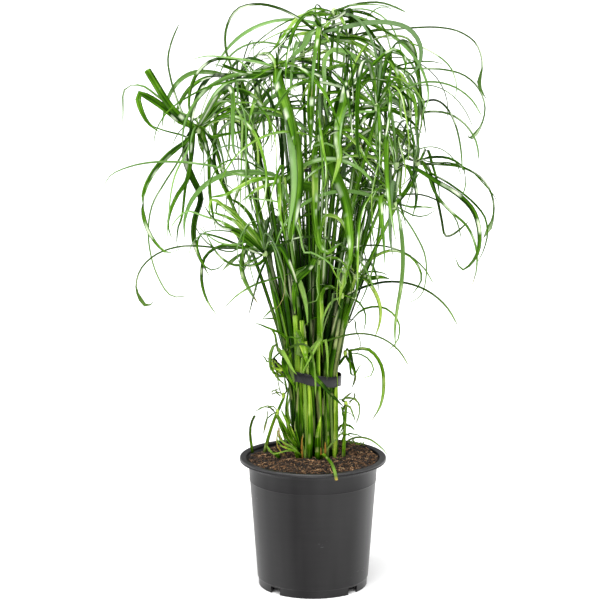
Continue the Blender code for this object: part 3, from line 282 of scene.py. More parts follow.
# Leaves that the photograph shows besides the CAD part's, under the name of the crown or shoot they grow from. A line
# gives a leaf's width, its look, how far in front of its crown its tip lies, and its points as x,z on the plane y = 0.
# Under foot stand the blades, scraps and roots at the foot of the bundle, with the depths of root and tip.
TRACED_LEAVES = """
crown_01
2.5 MID 8 -140,523 -154,527 -164,529 -176,533 -185,537 -191,541
6 MID 20 -138,500 -143,474 -153,459 -160,445 -164,432 -165,421 -162,410 -158,404
2.5 PALE 26 -142,508 -152,490 -158,475 -162,455 -164,435 -166,418 -165,405 -162,397
5 MID 14 -121,515 -118,500 -118,480 -117,458 -115,440 -112,425 -110,412
5 DARK 6 -113,517 -107,500 -103,484 -99,468 -92,452 -88,445
6 DARK 4 -121,538 -113,554 -104,564 -94,572 -82,575
4 MID 6 -115,523 -101,526 -86,528 -70,531 -58,524
8 BRIGHT 6 -127,515 -124,503
4 MID 18 -138,505 -145,465 -149,433 -153,423 -155,410 -155,398 -151,390
9.5 MID 10 -148,540 -165,554 -182,566 -196,572 -196,560 -187,540 -172,527
crown_02
2.5 PALE 10 -60,607 -85,611 -103,613 -118,614 -133,611 -143,607
2.5 MID 20 -66,590 -86,588 -104,583 -120,579 -134,572 -148,564 -158,557 -168,547 -177,531 -180,517 -179,507 -176,497
10 0.28/0/0 80 -36,594.5 -30,592.5 -18,592.5 -5,593 4,592
9.5 0.58/0.44/0.44 42 -36,594 -30,592 -18,592 -5,593 0,590 -1.5,580 -2,560 -3,518 -4,500
14 0.5/0/0 94 -40,588 -35,570 -28,548 -23,528 -20,508
11 0.55/0.46/0.46 124 -40,588 -35,570 -29,548 -26,525 -23,500 -21.5,475 -23,450 -27,425 -29,408
15 0.48/0/0 84 -40,588 -35,570 -28,548 -22,525 -18,500 -16,475 -18,450 -22,420 -25,400
8 DARK 6 -50,595 -62,592 -74,593 -87,597 -98,603 -105,606
6 0.2/0/0 8 -38,590 -35,553 -35,508 -34,463 -30,435
3 MID 0 -41,603 -41,613 -43,622
crown_03
2.5 MID 10 11,666 2,667 -5,665 -12,660
2.5 MID 10 38,664 52,662 67,657 79,652 93,644
4 MID 14 55,650 64,641 72,630 79,621 86,612 94,598
6.5 BRIGHT 12 21,660 17,653 14,645 9,634
5 BRIGHT 14 27,661 33,653 37,642 39,635
5.5 BRIGHT 16 18,660 -7,660 -18,656 -28,644 -38,631 -44,622 -53,613
2 PALE 4 25,665 43,670 66,671 83,669 96,665
4 MID 10 26,660 43,657 60,651 77,643 96,633
crown_04
3 DARK 10 0,642 -13,643 -25,643 -33,631 -43,622 -59,613
5 BRIGHT 14 0,639 -13,639 -25,635 -32,630
5 DARK 4 8,645 2,656 -2,660 -7,661
4 BRIGHT 14 16,634 18,625
4 DARK 12 15,638 32,634 43,634 57,631 70,623 81,615 95,600
crown_05
5 MID 14 40,635 52,634 66,642 87,644
crown_06
2.5 MID 8 95,603 112,607 124,608 138,607 150,603
6.5 PALE 50 70,600 60,600 49,611 38,618 27,621 20,620 13,612 12,596 13,575 13,560 17,545 20,530
crown_07
4 MID 6 39,574 50,582 66,590 77,592
5 MID 14 37,569 26,566 18,559 14,553
5 DARK 10 41,570 49,574 58,569 64,560
8 MID 14 39,566 47,553 53,536
11 0.34/0/0 12 32,574 28,562 25,531 21,491 22,452
11 0.55/0/0.1 55 33,560 28,540 27,520 30,500 25,480 20,465
crown_08
4.5 MID 8 72,556 80,573 85,588 87,602 82,611
3 PALE 12 71,555 65,567 54,581 50,587
5 MID 10 74,553 96,556
3 PALE 16 70,552 49,551 32,545 18,541
8 DARK 6 70,550 60,547 53,537 55,530
crown_10
3 MID 20 132,483 148,474 163,464 177,453 188,442 195,432 198,420 198,408 194,393 188,381 181,371
2 MID 10 135,494 152,494 168,490 182,482 193,470 204,458 210,447 215,435
4 MID 10 123,500 127,510 131,505 134,494 138,482 142,466 144,450
crown_11
2 MID 10 100,441 107,437 116,433 127,433 136,438 142,443
6 MID 6 98,452 106,463 114,474 121,483
4 DARK 4 91,455 90,470 90,480
crown_17
7 MID 90 -76,532 -80,514 -76,493 -73,464 -67,432
6 MID 80 -68,534 -61,519 -60,498 -65,474 -73,458
3 DARK 60 -94,545 -104,532 -99,511 -89,487 -84,464
2.2 GREY 70 -107,558 -117,550 -125,532 -124,500 -123,464 -121,448
2.2 MID 60 -112,547 -125,540 -138,524 -140,500 -139,479 -144,464
crown_13
6.5 VIVID 16 -74,416 -84,429 -100,443 -114,453 -118,443 -116,427
5.5 BRIGHT 20 -76,413 -89,427 -104,434 -121,439
5.5 MID 8 -66,421 -74,437 -88,450 -105,455
4.5 DARK 24 -84,415 -105,421 -119,437 -125,449
2 GREY 30 -74,408 -100,416 -121,415 -137,403 -141,387 -132,382
2.4 PALE 34 -74,403 -90,400 -108,403 -126,416 -134,427
2 MID 24 -79,398 -95,392 -118,400 -134,421 -136,443
7 BRIGHT 10 -61,401 -71,417 -81,426 -90,437 -100,444 -109,447 -111,441 -107,432
3 PALE 14 -70,402 -88,418 -105,427 -118,431 -130,435 -141,439 -150,435 -157,427 -162,419 -160,408
3 MID 30 -80,398 -105,408 -125,413 -130,409 -132,401 -131,389 -125,377 -117,371 -108,373 -102,379 -96,391
4.5 DARK 8 -57,381 -69,376 -83,376
7 DARK 12 -45,398 -35,395 -22,364 -16,340
crown_15
5.5 BRIGHT 26 -50,476 -68,474 -84,466 -100,457 -115,455 -120,448
2.4 MID 20 -58,485 -73,495 -89,498 -107,490 -118,469 -119,453
2.2 GREY 30 -58,487 -76,506 -94,514 -112,506 -126,487 -130,464
12 0.52/0/0.15 50 -20,468 -8,468 -1,464 2,450 3,438 4,421 6,403 12,392 19,392 27,399 34,403
4.5 BRIGHT 12 -44,470 -54,468 -65,463 -72,457 -83,449
4.5 VIVID 10 -30,455 -21,440 -16,425 -12,408
5.5 BRIGHT 8 -38,455 -38,435 -34,418 -30,400
2.5 PALE 8 -34,460 -37,450 -49,451 -66,453 -83,453
3 PALE 20 -32,462 -25,440 -15,412 -11,392 -2,391 15,382 23,374 33,371 41,372
crown_16
4.5 BRIGHT 20 18,534 32,529 43,521 53,510 61,495 76,477 79,470
2.5 PALE 14 -2,512 15,516 26,510 43,500 56,482 72,468
9 BRIGHT 16 3,514 1,500 2,468 2,434 4,408
14 0.52/0/0.15 66 20,490 29,470 35,455 39,438 41,420 43,403 42,385 38,368
crown_09
3.5 DARK 20 80,480 71,465 62,466 50,466 44,464
shoot_01
2.5 MID 6 62,369 72,369 81,367 88,363
2.5 MID 10 64,357 70,355 76,351
9 0.55/0/0.1 34 44,380 41,392 38,372 32,348 30,330
shoot_02
7 PALE 22 -6,374 -19,367 -14,353 -9,335 -7,320 -6,305
5.5 BRIGHT 50 7,410 12,432 19,434 28,431 35,423 40,411 44,397 44,380 38,366
2 PALE 24 5,365 4,355 6,338 -3,333 -10,332
8 MID 24 -5,372 -18,360 -22,345 -21,318
shoot_03
3 PALE 14 35,339 26,338 18,330 12,316 10,300
5 BRIGHT 20 20,352 10,345 10,320 10,290 11,268
2.5 MID 10 45,338 54,332 60,320 60,308 56,294
shoot_05
4 DARK 14 38,270 45,259 49,249 47,239 44,231
3 MID 6 44,248 50,252 53,258 60,263
shoot_06
9 BRIGHT 6 -11,290 -10,285 -8,275 -7,262
4 PALE 10 9,291 3,280 -6,263 -14,249
3 PALE 16 -14,248 -9,257 -7,262
shoot_07
6 PALE 22 -36,278 -28,263 -23,254 -18,248
3.5 MID 8 -31,293 -55,305 -69,310
3.5 MID 10 -32,310 -39,313 -49,315 -62,313
2.5 MID 6 -51,263 -54,268 -63,274
3 MID 6 -29,293 -19,291 -12,292 -7,300
shoot_08
1.8 GREY 8 -44,210 -50,212 -60,210 -67,205
1.4 GREY 4 -44,203 -50,202
1.8 DARK 6 -50,200 -54,195 -57,182 -56,172
shoot_09
1.8 GREY 8 -50,225 -45,231 -39,232 -32,230
1.4 GREY 8 -45,262 -54,268 -62,274
shoot_10
2 GREY 8 34,219 42,222 51,219 54,211 53,200 48,190
3 DARK 6 34,218 40,224 46,229
1.5 GREY 8 37,213 42,210 47,205
1.5 GREY 10 36,206 42,204 48,197
2.4 DARK 6 34,205 37,193 35,180 30,175
foot
4.5 MID -10 -18 -21,156 -31,178 -42,199 -44,203
4 MID -14 -20 -12,147 -22,172 -34,202 -38,206
6.5 VIVID -15 -21 -4,145 -3,165 -3,190 -4,225 -6,252
7.5 VIVID -16 -18 5,145 6,160 6,175 8,192 9,200
5 BRIGHT -14 -21 7,146 8,190 8,225 7,252
6.5 VIVID -10 -18 25,147 25.5,180 26,215 28,254
5 PALE -15 -21 -9,146 -10,180 -9,215 -10,254
4.2 PALE -15 -21 12.5,147 13,180 12.5,236
4.8 GREY -14 -20 17,148 17,190 18,254
5 DARK -12 -20 -17,148 -18,190 -16,252
2.2 DRY -17 -18 -12,147 -13,163 -12,178
2.2 DRY -18 -19 9,145 9.5,154 9,163
2.6 DRY -16 -17 14,146 14.5,158 14,170
2 PALE -8 -16 -12,152 -22,160 -30,164 -36,172 -41,186
1.6 STRAW -8 -12 -32,152 -40,161 -42,172 -40,186 -38,192
1.6 PALE -12 -18 -53,164 -48,157 -42,152 -38,150
5 DARK -18 -20 -38,150 -44,155 -50,157
3.2 PALE 10 -6 26,176 31,187 37,190 43,188 50,181
1.8 PALE 20 20 27,176 37,179 48,173
1.8 PALE -10 -22 16,146 26,150 36,147 42,141
7 BRIGHT -44 -48 -17,301 -15,289 -11,278 -8,267 -6,258
3.6 PALE -46 -46 -6,259 0,274 9,288 14,290 16,278 17,258 16,242
4.5 MID -14 -18 -12,154 -23,171 -32,185 -42,198
4 BRIGHT -16 -20 -16,159 -22,175 -28,189 -34,201 -38,211
2 PALE -18 -22 -14,154 -25,163 -36,169 -41,177 -42,185
3.4 MID -10 -18 -24,169 -29,187 -31,207 -29,227 -27,242
4 DARK -12 -20 -23,179 -23,199 -24,219 -27,238 -32,250
1.8 GREY -6 -10 30,219 41,221 50,219 54,209 52,195 47,187
3 MID -10 -18 33,211 36,199 35,187 30,177
2.5 MID -8 -10 33,190 38,189 44,188 49,182
2.6 VIVID -16 -24 -29,250 -38,257 -44,265 -46,258 -45,250
3 BRIGHT -16 -26 -28,243 -38,251 -44,250 -40,243 -32,238
2.4 DARK -16 -22 -28,248 -35,258 -40,259 -42,252 -40,244 -30,234
5 GREY -33 -36 -40,280 -33,270 -27,258 -23,246 -22,234
5 DARK -32 -34 -34,272 -34,260 -31,248 -28,238
4.5 MID -33 -37 -25,275 -31,262 -30,250 -24,240 -19,228
4 VIVID -24 -30 -31,256 -38,254 -44,256 -47,262 -46,268
3.4 MID -22 -28 -30,246 -39,247 -46,252 -49,260 -48,272 -44,282
2.2 GREY -16 -20 -24,187 -28,199 -29,211 -26,227
3 DARK -20 -22 -14,158 -18,173 -21,189 -19,201
2.2 BRIGHT -20 -26 -13,153 -23,159 -32,162 -40,167 -42,179
1.6 PALE -22 -26 -24,158 -34,158 -44,154 -51,158 -54,165
2.6 MID -18 -24 -15,156 -27,169 -35,181 -40,195 -39,207
2 MID -18 -22 -17,163 -25,179 -28,195 -32,207
1.8 PALE -18 -24 -14,154 -24,163 -32,167 -41,173 -42,169 -40,162
1.6 DRY -16 -22 -27,159 -34,167 -40,177 -40,187 -38,181 -40,169
2.4 GREY -14 -18 -30,163 -32,171 -35,181 -37,191
2 MID -12 -20 33,169 36,177 43,179 53,177 59,174
2 GREY -30 -34 15,153 18,163 26,171 33,179 36,185
3.2 MID -20 -24 18,162 18,187 17,211 15,234
3 GREY -18 -22 23,161 22,183 21,209 21,231
3 DARK -18 -22 13,161 13,183 12,209 12,234
3 MID -16 -22 -10,159 -11,183 -13,209 -17,234
"""


class Shape:
    """Points, faces and marks of a piece: a mark is a point's tone, place along, place across and age."""

    def __init__(self):
        self.points = []
        self.faces = []
        self.marks = []

    def add(self, points, faces, marks):
        """Add a solid, its faces numbered from 0."""
        first = len(self.points)
        self.points += points
        self.faces += [tuple(first + corner for corner in face) for face in faces]
        self.marks += marks


class Value:
    """A value in a material in the making, with short ways to work out further ones from it."""

    def __init__(self, look, socket):
        self.look = look
        self.socket = socket

    def to(self, operation, other=0.0):
        return self.look.value("ShaderNodeMath", {0: self, 1: other}, operation=operation)

    def __add__(self, other):
        return self.to("ADD", other)

    def __mul__(self, other):
        return self.to("MULTIPLY", other)

    def __truediv__(self, other):
        return self.to("DIVIDE", other)

    def __pow__(self, other):
        return self.to("POWER", other)

    def stretched(self, x, y, z):
        return self.look.value("ShaderNodeVectorMath", {0: self, 1: (x, y, z)}, operation="MULTIPLY")

    def grain(self, scale, detail=3.0):
        """Soft noise from 0 to 1."""
        return self.look.value("ShaderNodeTexNoise", {"Vector": self, "Scale": scale, "Detail": detail}, "Fac")

    def spread(self, low, high):
        """A value from 0 to 1 stretched to run from low to high."""
        return self * (high - low) + low

    def between(self, start, end):
        """Runs from 0 where the value is at the start to 1 where it is at the end."""
        return self.look.value("ShaderNodeMapRange", {"Value": self, "From Min": start, "From Max": end}, "Result")

    def ramp(self, *stops):
        """A colour from stops of (position, colour)."""
        node = self.look.add("ShaderNodeValToRGB", {"Fac": self})
        elements = node.color_ramp.elements
        elements[0].position, elements[1].position = stops[0][0], stops[-1][0]
        elements[0].color, elements[1].color = (*stops[0][1], 1.0), (*stops[-1][1], 1.0)
        for position, colour in stops[1:-1]:
            elements.new(position).color = (*colour, 1.0)
        return Value(self.look, node.outputs["Color"])


class Finish:
    """A material in the making: its shader and short ways to add nodes to it."""

    def __init__(self, name):
        self.material = bpy.data.materials.new(name)
        self.material.use_nodes = True
        self.tree = self.material.node_tree
        self.shader = self.tree.nodes["Principled BSDF"]

    def feed(self, socket, value):
        if isinstance(value, Value):
            self.tree.links.new(value.socket, socket)
        else:
            socket.default_value = value

    def add(self, kind, inputs, **settings):
        node = self.tree.nodes.new(kind)
        for key, value in settings.items():
            setattr(node, key, value)
        for key, value in inputs.items():
            self.feed(node.inputs[key], value)
        return node

    def value(self, kind, inputs, output=0, **settings):
        return Value(self, self.add(kind, inputs, **settings).outputs[output])

    def marks(self):
        """The mark's tone, place along, place across and age."""
        mark = self.add("ShaderNodeAttribute", {}, attribute_name="mark")
        parts = self.add("ShaderNodeSeparateColor", {"Color": Value(self, mark.outputs["Color"])})
        return [Value(self, part) for part in (*parts.outputs, mark.outputs["Alpha"])]

    def place(self):
        """The surface's place on the object, which stays put when it moves."""
        return self.value("ShaderNodeTexCoord", {}, "Object")

    def parts(self, vector):
        return [Value(self, part) for part in self.add("ShaderNodeSeparateXYZ", {"Vector": vector}).outputs]

    def vector(self, x, y, z):
        return self.value("ShaderNodeCombineXYZ", {"X": x, "Y": y, "Z": z})

    def mix(self, factor, first, second, blend="MIX"):
        return self.value("ShaderNodeMix", {0: factor, 6: first, 7: second}, 2, data_type="RGBA", blend_type=blend)

    def bump(self, height, strength, distance):
        """Relief from a height from 0 to 1, distance in millimetres."""
        inputs = {"Height": height, "Strength": strength, "Distance": distance * MM}
        self.feed(self.shader.inputs["Normal"], self.value("ShaderNodeBump", inputs))

    def set(self, **inputs):
        for key, value in inputs.items():
            self.feed(self.shader.inputs[key.replace("_", " ")], value)
        return self.material


def green_finish(name, veins, roughness, highlight_most):
    """Leaf or stem green: long veins, soft blotches, and a pale or straw colour with age; painted highlight streaks of
    pale green, and painted shade that darkens the middle of the lower bundle.
    """
    look = Finish(name)
    tone, along, across, age = look.marks()
    vein = look.vector(across * veins, along * 2.5, tone * 40.0).grain(1.0)
    stripe = look.vector(across * 3.4, along * 1.3, tone * 70.0).grain(1.0, 1.0)
    blotch = look.place().grain(45.0)
    stretch = look.vector(tone * 90.0, along * 3.2, 0.0).grain(1.0, 1.0)
    shade = tone + vein.spread(-0.2, 0.2) + blotch.spread(-0.15, 0.15)
    shade = shade + stretch.spread(-0.55, 0.55) + stripe.spread(-0.65, 0.65)
    # Painted shade: the lower bundle is painted darker towards its middle, in a reach that widens with height.
    x, y, z = look.parts(look.place())
    fan = z.between(0.25, 0.65).spread(1.0, 4.1)
    painted_shade_inside = ((x * (x * 0.75) + y * y) ** 0.5 / fan).between(0.0245, 0.016)
    low = z.between(0.42, 0.26)
    fresh = (shade + painted_shade_inside * low * -0.8).ramp(
        (0.0, (0.002, 0.013, 0.0)), (0.25, (0.013, 0.052, 0.0005)), (0.5, (0.053, 0.152, 0.004)),
        (0.75, (0.14, 0.295, 0.025)), (1.0, (0.34, 0.49, 0.11)))
    faded = (age + vein.spread(-0.1, 0.1)).ramp(
        (0.0, (0.11, 0.24, 0.02)), (0.4, (0.18, 0.33, 0.10)), (0.6, (0.075, 0.126, 0.055)),
        (0.85, (0.42, 0.32, 0.12)), (1.0, (0.30, 0.17, 0.06)))
    # Painted highlight: pale green streaks along the leaves, in a band beside the middle, fainter low on the plant.
    highlight_noise = look.vector(tone * 130.0, along * 6.0, 0.0).grain(1.0, 1.0)
    painted_highlight = highlight_noise.spread(-4.0, 3.6).to("MAXIMUM", 0.0).to("MINIMUM", highlight_most) * low.spread(1.0, 0.3)
    highlight_band = (across + -0.33).to("ABSOLUTE").between(0.36, 0.1)
    fresh = look.mix(painted_highlight * highlight_band, fresh, (0.7, 0.8, 0.57, 1.0))
    colour = look.mix((age * 1.8).to("MINIMUM", 1.0), fresh, faded)
    colour = look.mix(low, colour, (1.06, 1.0, 0.5, 1.0), "MULTIPLY")
    look.bump((across * (veins * 2.0)).to("SINE") * 0.3 + vein, 0.45, 0.3)
    return look.set(Base_Color=colour, Roughness=blotch.spread(roughness - 0.08, roughness + 0.14),
                    Specular_IOR_Level=0.08, Specular_Tint=(0.55, 0.85, 0.4, 1.0))


def plastic_finish(name, colour, roughness, lipped=False):
    """Moulded plastic: fine grain, lighter marks from scuffs that run round and from streaks of painted sheen that run
    up, and a little dust.
    """
    look = Finish(name)
    place = look.place()
    fine = place.grain(900.0)
    sheen_streaks = place.stretched(60.0, 60.0, 2.5).grain(1.0)
    scuffs = place.stretched(18.0, 18.0, 160.0).grain(1.0, 5.0)
    bands = place.stretched(19.0, 19.0, 1.5).grain(1.0, 2.0)
    nicks = place.stretched(110.0, 110.0, 1300.0).grain(1.0, 1.0).between(0.71, 0.8)
    nicks = nicks * place.grain(24.0, 1.0).between(0.64, 0.7)
    wear_and_sheen = tuple(min(1.0, part * 1.9 + 0.01) for part in colour)
    # Partly wear and partly painted sheen: lighter where the scuffs that run round meet the streaks that run up.
    base = look.mix(sheen_streaks.spread(-0.2, 0.7) * scuffs.spread(0.2, 1.3), (*colour, 1.0), (*wear_and_sheen, 1.0))
    base = look.mix(nicks * 0.7, base, (0.3, 0.3, 0.31, 1.0))
    look.bump(fine * 0.5 + scuffs, 0.12, 0.3)
    roughened = sheen_streaks.spread(roughness - 0.1, roughness + 0.1) + fine.spread(-0.04, 0.04)
    sheen = bands.spread(0.0, 0.55)
    if lipped:
        x, y, z = look.parts(place)
        lip = z.between(0.1495, 0.1515)
        edge = lip * (x * x + y * y).between(0.0833 ** 2, 0.0846 ** 2)
        sheen = sheen * lip.spread(1.0, 0.45) + edge * 0.9
    return look.set(Base_Color=base, Roughness=roughened, Specular_IOR_Level=sheen)


def peat_finish():
    """Peat: dark crumbs and lighter, redder fibres by their tone."""
    look = Finish("brown_peat")
    place = look.place()
    fine = place.grain(420.0, 5.0)
    patch = place.grain(170.0)
    shade = look.marks()[0] + fine.spread(-0.55, 0.5) + patch.spread(-0.65, 0.6)
    colour = shade.ramp((0.0, (0.004, 0.0025, 0.0015)), (0.3, (0.02, 0.011, 0.005)), (0.55, (0.07, 0.036, 0.016)),
                        (0.8, (0.26, 0.13, 0.055)), (1.0, (0.55, 0.36, 0.19)))
    look.bump(fine, 0.8, 0.9)
    return look.set(Base_Color=colour, Roughness=fine.spread(0.8, 1.0))


def floor_finish():
    """Pale matt floor with a very faint mottle."""
    look = Finish("pale_floor")
    mottle = look.place().grain(3.0)
    colour = mottle.ramp((0.0, (0.90, 0.90, 0.90)), (1.0, (0.94, 0.94, 0.94)))
    return look.set(Base_Color=colour, Roughness=mottle.spread(0.85, 0.95))


def stand(name, data):
    """A new object in the scene."""
    thing = bpy.data.objects.new(name, data)
    bpy.context.scene.collection.objects.link(thing)
    return thing


def add_piece(name, shape, material, node=None, sharp=None):
    """A closed mesh on the root body, in place of a CAD node where one is named."""
    mesh = bpy.data.meshes.new(name)
    mesh.from_pydata([tuple(point * MM) for point in shape.points], [], shape.faces)
    if shape.marks:
        mark = mesh.attributes.new("mark", "FLOAT_COLOR", "POINT")
        mark.data.foreach_set("color", [part for row in shape.marks for part in row])
    build = bmesh.new()
    build.from_mesh(mesh)
    bmesh.ops.recalc_face_normals(build, faces=build.faces)
    build.to_mesh(mesh)
    build.free()
    mesh.shade_smooth()
    if sharp is not None:
        mesh.set_sharp_from_angle(angle=math.radians(sharp))
    mesh.materials.append(material)
    piece = stand(name, mesh)
    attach(piece, "root")
    if node:
        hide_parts(node)
    return piece


def traced_rows():
    """The table of traced leaves by name: each leaf's width, look, depths and points."""
    rows = {}
    for line in TRACED_LEAVES.strip().splitlines():
        first, *words = line.split()
        if not words:
            name = first
            rows[name] = []
            continue
        look = LOOKS.get(words[0]) or tuple(float(part) for part in words[0].split("/"))
        depths = [float(word) for word in words[1:] if "," not in word]
        trace = [tuple(float(part) for part in word.split(",")) for word in words[1:] if "," in word]
        rows[name].append((float(first), look, depths, trace))
    return rows


def seen(x, z, depth):
    """The point at a depth that the camera sees at (x, z) on the plane y = 0."""
    return EYE + (Vector((x, 0.0, z)) - EYE) * (1 - depth / EYE.y)


def curve_through(knots, step, most):
    """Points of a smooth curve through the knots, each with its place counted in knots."""
    curve = []
    padded = [knots[0] * 2 - knots[1], *knots, knots[-1] * 2 - knots[-2]]
    for index, (before, start, end, after) in enumerate(zip(padded, padded[1:], padded[2:], padded[3:])):
        for part in range(8):
            t = part / 8
            point = 0.5 * (start * 2 + (end - before) * t + (before * 2 - start * 5 + end * 4 - after) * t ** 2
                           + (start * 3 - before - end * 3 + after) * t ** 3)
            curve.append((point, index + t))
    curve.append((knots[-1], len(knots) - 1.0))
    lengths = [0.0]
    for (start, _), (end, _) in zip(curve, curve[1:]):
        lengths.append(lengths[-1] + (end - start).length)
    count = max(4, min(most, round(lengths[-1] / step)))
    route = []
    span = 0
    for index in range(count + 1):
        target = lengths[-1] * index / count
        while span < len(lengths) - 2 and lengths[span + 1] < target:
            span += 1
        share = (target - lengths[span]) / max(lengths[span + 1] - lengths[span], 1e-9)
        (start, first), (end, last) = curve[span], curve[span + 1]
        route.append((start.lerp(end, share), first + (last - first) * share))
    return route


def direction(places, index):
    """The direction of a way at one of its places."""
    return (places[min(index + 1, len(places) - 1)] - places[max(index - 1, 0)]).normalized()


def read_between(values, knot):
    """A value between the ones that are given for each knot."""
    low = min(int(knot), len(values) - 2)
    return values[low] + (values[low + 1] - values[low]) * (knot - low)


def angles_round(count):
    """The angles of a count of places round a full turn."""
    return [2 * math.pi * side / count for side in range(count)]


def band(low, high, count):
    """Faces between two rings of points."""
    return [(low + side, low + (side + 1) % count, high + (side + 1) % count, high + side)
            for side in range(count)]


def skin(rings):
    """Points and faces of a closed skin over rings of points. A ring of one point ends in it, others are capped."""
    points = [point for ring in rings for point in ring]
    faces = []
    first = 0
    for ring, after in zip(rings, rings[1:]):
        second = first + len(ring)
        if len(ring) == 1:
            count = len(after)
            faces += [(first, second + (side + 1) % count, second + side) for side in range(count)]
        elif len(after) == 1:
            count = len(ring)
            faces += [(second, first + side, first + (side + 1) % count) for side in range(count)]
        else:
            faces += band(first, second, len(ring))
        first = second
    if len(rings[0]) > 1:
        faces.append(tuple(reversed(range(len(rings[0])))))
    if len(rings[-1]) > 1:
        faces.append(tuple(range(first, len(points))))
    return points, faces


def leaf_width(share, form):
    """A leaf's width along its length, over its full width: a narrow root, a broad middle and a fine tip.

    A thread keeps its width up to its end, a hook broadens near its end, and a blunt leaf is cut off square.
    """
    if form in ("thread", "hook"):
        most, where, spread = HOOK_BROAD
        broad = most * math.exp(-((share - where) / spread) ** 2) if form == "hook" else 0
        return (1 - 0.3 * share + broad) * (1 - share ** 24)
    if form == "blunt":
        return 1 - 0.5 * share ** 30
    opening = min(1.0, share / LEAF_ROOT_END)
    opening = LEAF_ROOT_SHARE + (1 - LEAF_ROOT_SHARE) * opening * opening * (3 - 2 * opening)
    return opening * (1 - 0.7 * share ** 3) * (1 - share ** 11)


def fine_leaf(knots, sides, width, look, draw, form="leaf"):
    """Points, faces and marks of one thin leaf, folded along its middle, on a smooth curve."""
    route = curve_through(knots, LEAF_STEP, LEAF_STEPS_MOST)
    if form == "blunt":
        route.insert(-1, (route[-2][0].lerp(route[-1][0], 0.9), route[-1][1] - 0.05))
    places = [place for place, _ in route]
    rings, marks = [], []
    waves = [draw.uniform(0, 6.28) for _ in range(2)]
    tone, root_age, tip_age = look
    for index, (place, knot) in enumerate(route[:-1]):
        share = index / (len(route) - 1)
        along = direction(places, index)
        low = min(int(knot), len(sides) - 2)
        side = sides[low].lerp(sides[low + 1], knot - low)
        side = (side - along * side.dot(along)).normalized()
        up = along.cross(side)
        wide = width * leaf_width(share, form)
        age = root_age + (tip_age - root_age) * share ** 4
        thick = LEAF_THICKNESS * (1 - 0.5 * share)
        ring = []
        for number, across in enumerate(LEAF_ACROSS + LEAF_ACROSS[-2:0:-1]):
            edge = 2 * across - 1
            lift = LEAF_FOLD * wide / 2 * (abs(edge) - 1)
            if number < len(LEAF_ACROSS):
                lift += LEAF_WAVE * wide * math.sin(9 * share + waves[edge > 0]) * abs(edge)
            else:
                lift -= thick
            ring.append(place - side * (edge * wide / 2) + up * lift)
            marks.append((tone, share, across, age))
        rings.append(ring)
    rings.append([places[-1]])
    marks.append((tone, 1.0, 0.5, tip_age))
    return *skin(rings), marks


def welded(node):
    """A CAD node's points in millimetres, each once, and each point's neighbours."""
    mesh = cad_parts[node].data
    numbers = {}
    points = []
    joined = []
    for vertex in mesh.vertices:
        key = tuple(round(part * 1e5) for part in vertex.co)
        if key not in numbers:
            numbers[key] = len(points)
            points.append(vertex.co / MM)
        joined.append(numbers[key])
    near = [set() for _ in points]
    for edge in mesh.edges:
        first, second = (joined[vertex] for vertex in edge.vertices)
        if first != second:
            near[first].add(second)
            near[second].add(first)
    return points, near


def peel_leaves(points, near):
    """Each CAD leaf's rings of three points from its tip back to its root, and the points left over."""
    leaves = []
    left = set(range(len(points)))
    for tip, around in enumerate(near):
        ring = sorted(around)
        if len(ring) != 3:
            continue
        rings = []
        passed = {tip}
        while len(ring) == 3:
            rings.append(ring)
            passed.update(ring)
            ring = sorted(set().union(*(near[point] for point in ring)) - passed)
        leaves.append((points[tip], [[points[corner] for corner in ring] for ring in rings]))
        left -= passed - set(rings[-1])
    return leaves, sorted((points[index] for index in left), key=lambda point: point.z)


def read_leaf(tip, rings):
    """A CAD leaf's knots from root to tip, the directions across it and its width."""
    rings = rings[::-1]
    first = rings[1]
    keel = max(range(3), key=lambda corner: (first[corner - 1] - first[corner - 2]).length)
    left, right = first[keel - 1], first[keel - 2]
    middle = (left + right) / 2
    along = rings[2][0] - rings[1][0] if len(rings) > 2 else tip - middle
    if (middle - first[keel]).dot(along.cross(left - right)) < 0:
        left, right = right, left
    width = (left - right).length
    corners = [left, right, first[keel]]
    knots = [sum(rings[0], Vector()) / 3, middle]
    sides = [(left - right).normalized()] * 2
    for ring in rings[2:]:
        centre = sum(ring, Vector()) / 3
        old = sum(corners, Vector()) / 3
        corners = list(min(itertools.permutations(ring), key=lambda order: sum(
            ((now - centre) - (then - old)).length for now, then in zip(order, corners))))
        knots.append((corners[0] + corners[1]) / 2)
        sides.append((corners[0] - corners[1]).normalized())
    knots.append(tip)
    sides.append(sides[-1])
    knots = [knots[0], *(before * 0.07 + here * 0.86 + after * 0.07
                         for before, here, after in zip(knots, knots[1:], knots[2:])), knots[-1]]
    return knots, turned_to_view(knots, sides), width


def facing(knots, index):
    """A leaf's direction at a knot, and the direction across it that turns its face to the viewer."""
    along = direction(knots, index)
    return along, along.cross((knots[index] - EYE).normalized()).normalized()


def flat_sides(knots):
    """Directions across a leaf that show its whole width all along."""
    return [facing(knots, index)[1] for index in range(len(knots))]


def turned_to_view(knots, sides):
    """Directions across a leaf, moved part of the way to the ones that show the leaf's whole width."""
    moved = []
    for knot, side, flat in zip(knots, sides, flat_sides(knots)):
        if flat.dot(side) < 0:
            flat = -flat
        share = min(1.0, max(FACING_LEAST, 1 - knot.y / FACING_DEPTH))
        moved.append(side.lerp(flat, LEAF_FACING * share).normalized())
    return moved


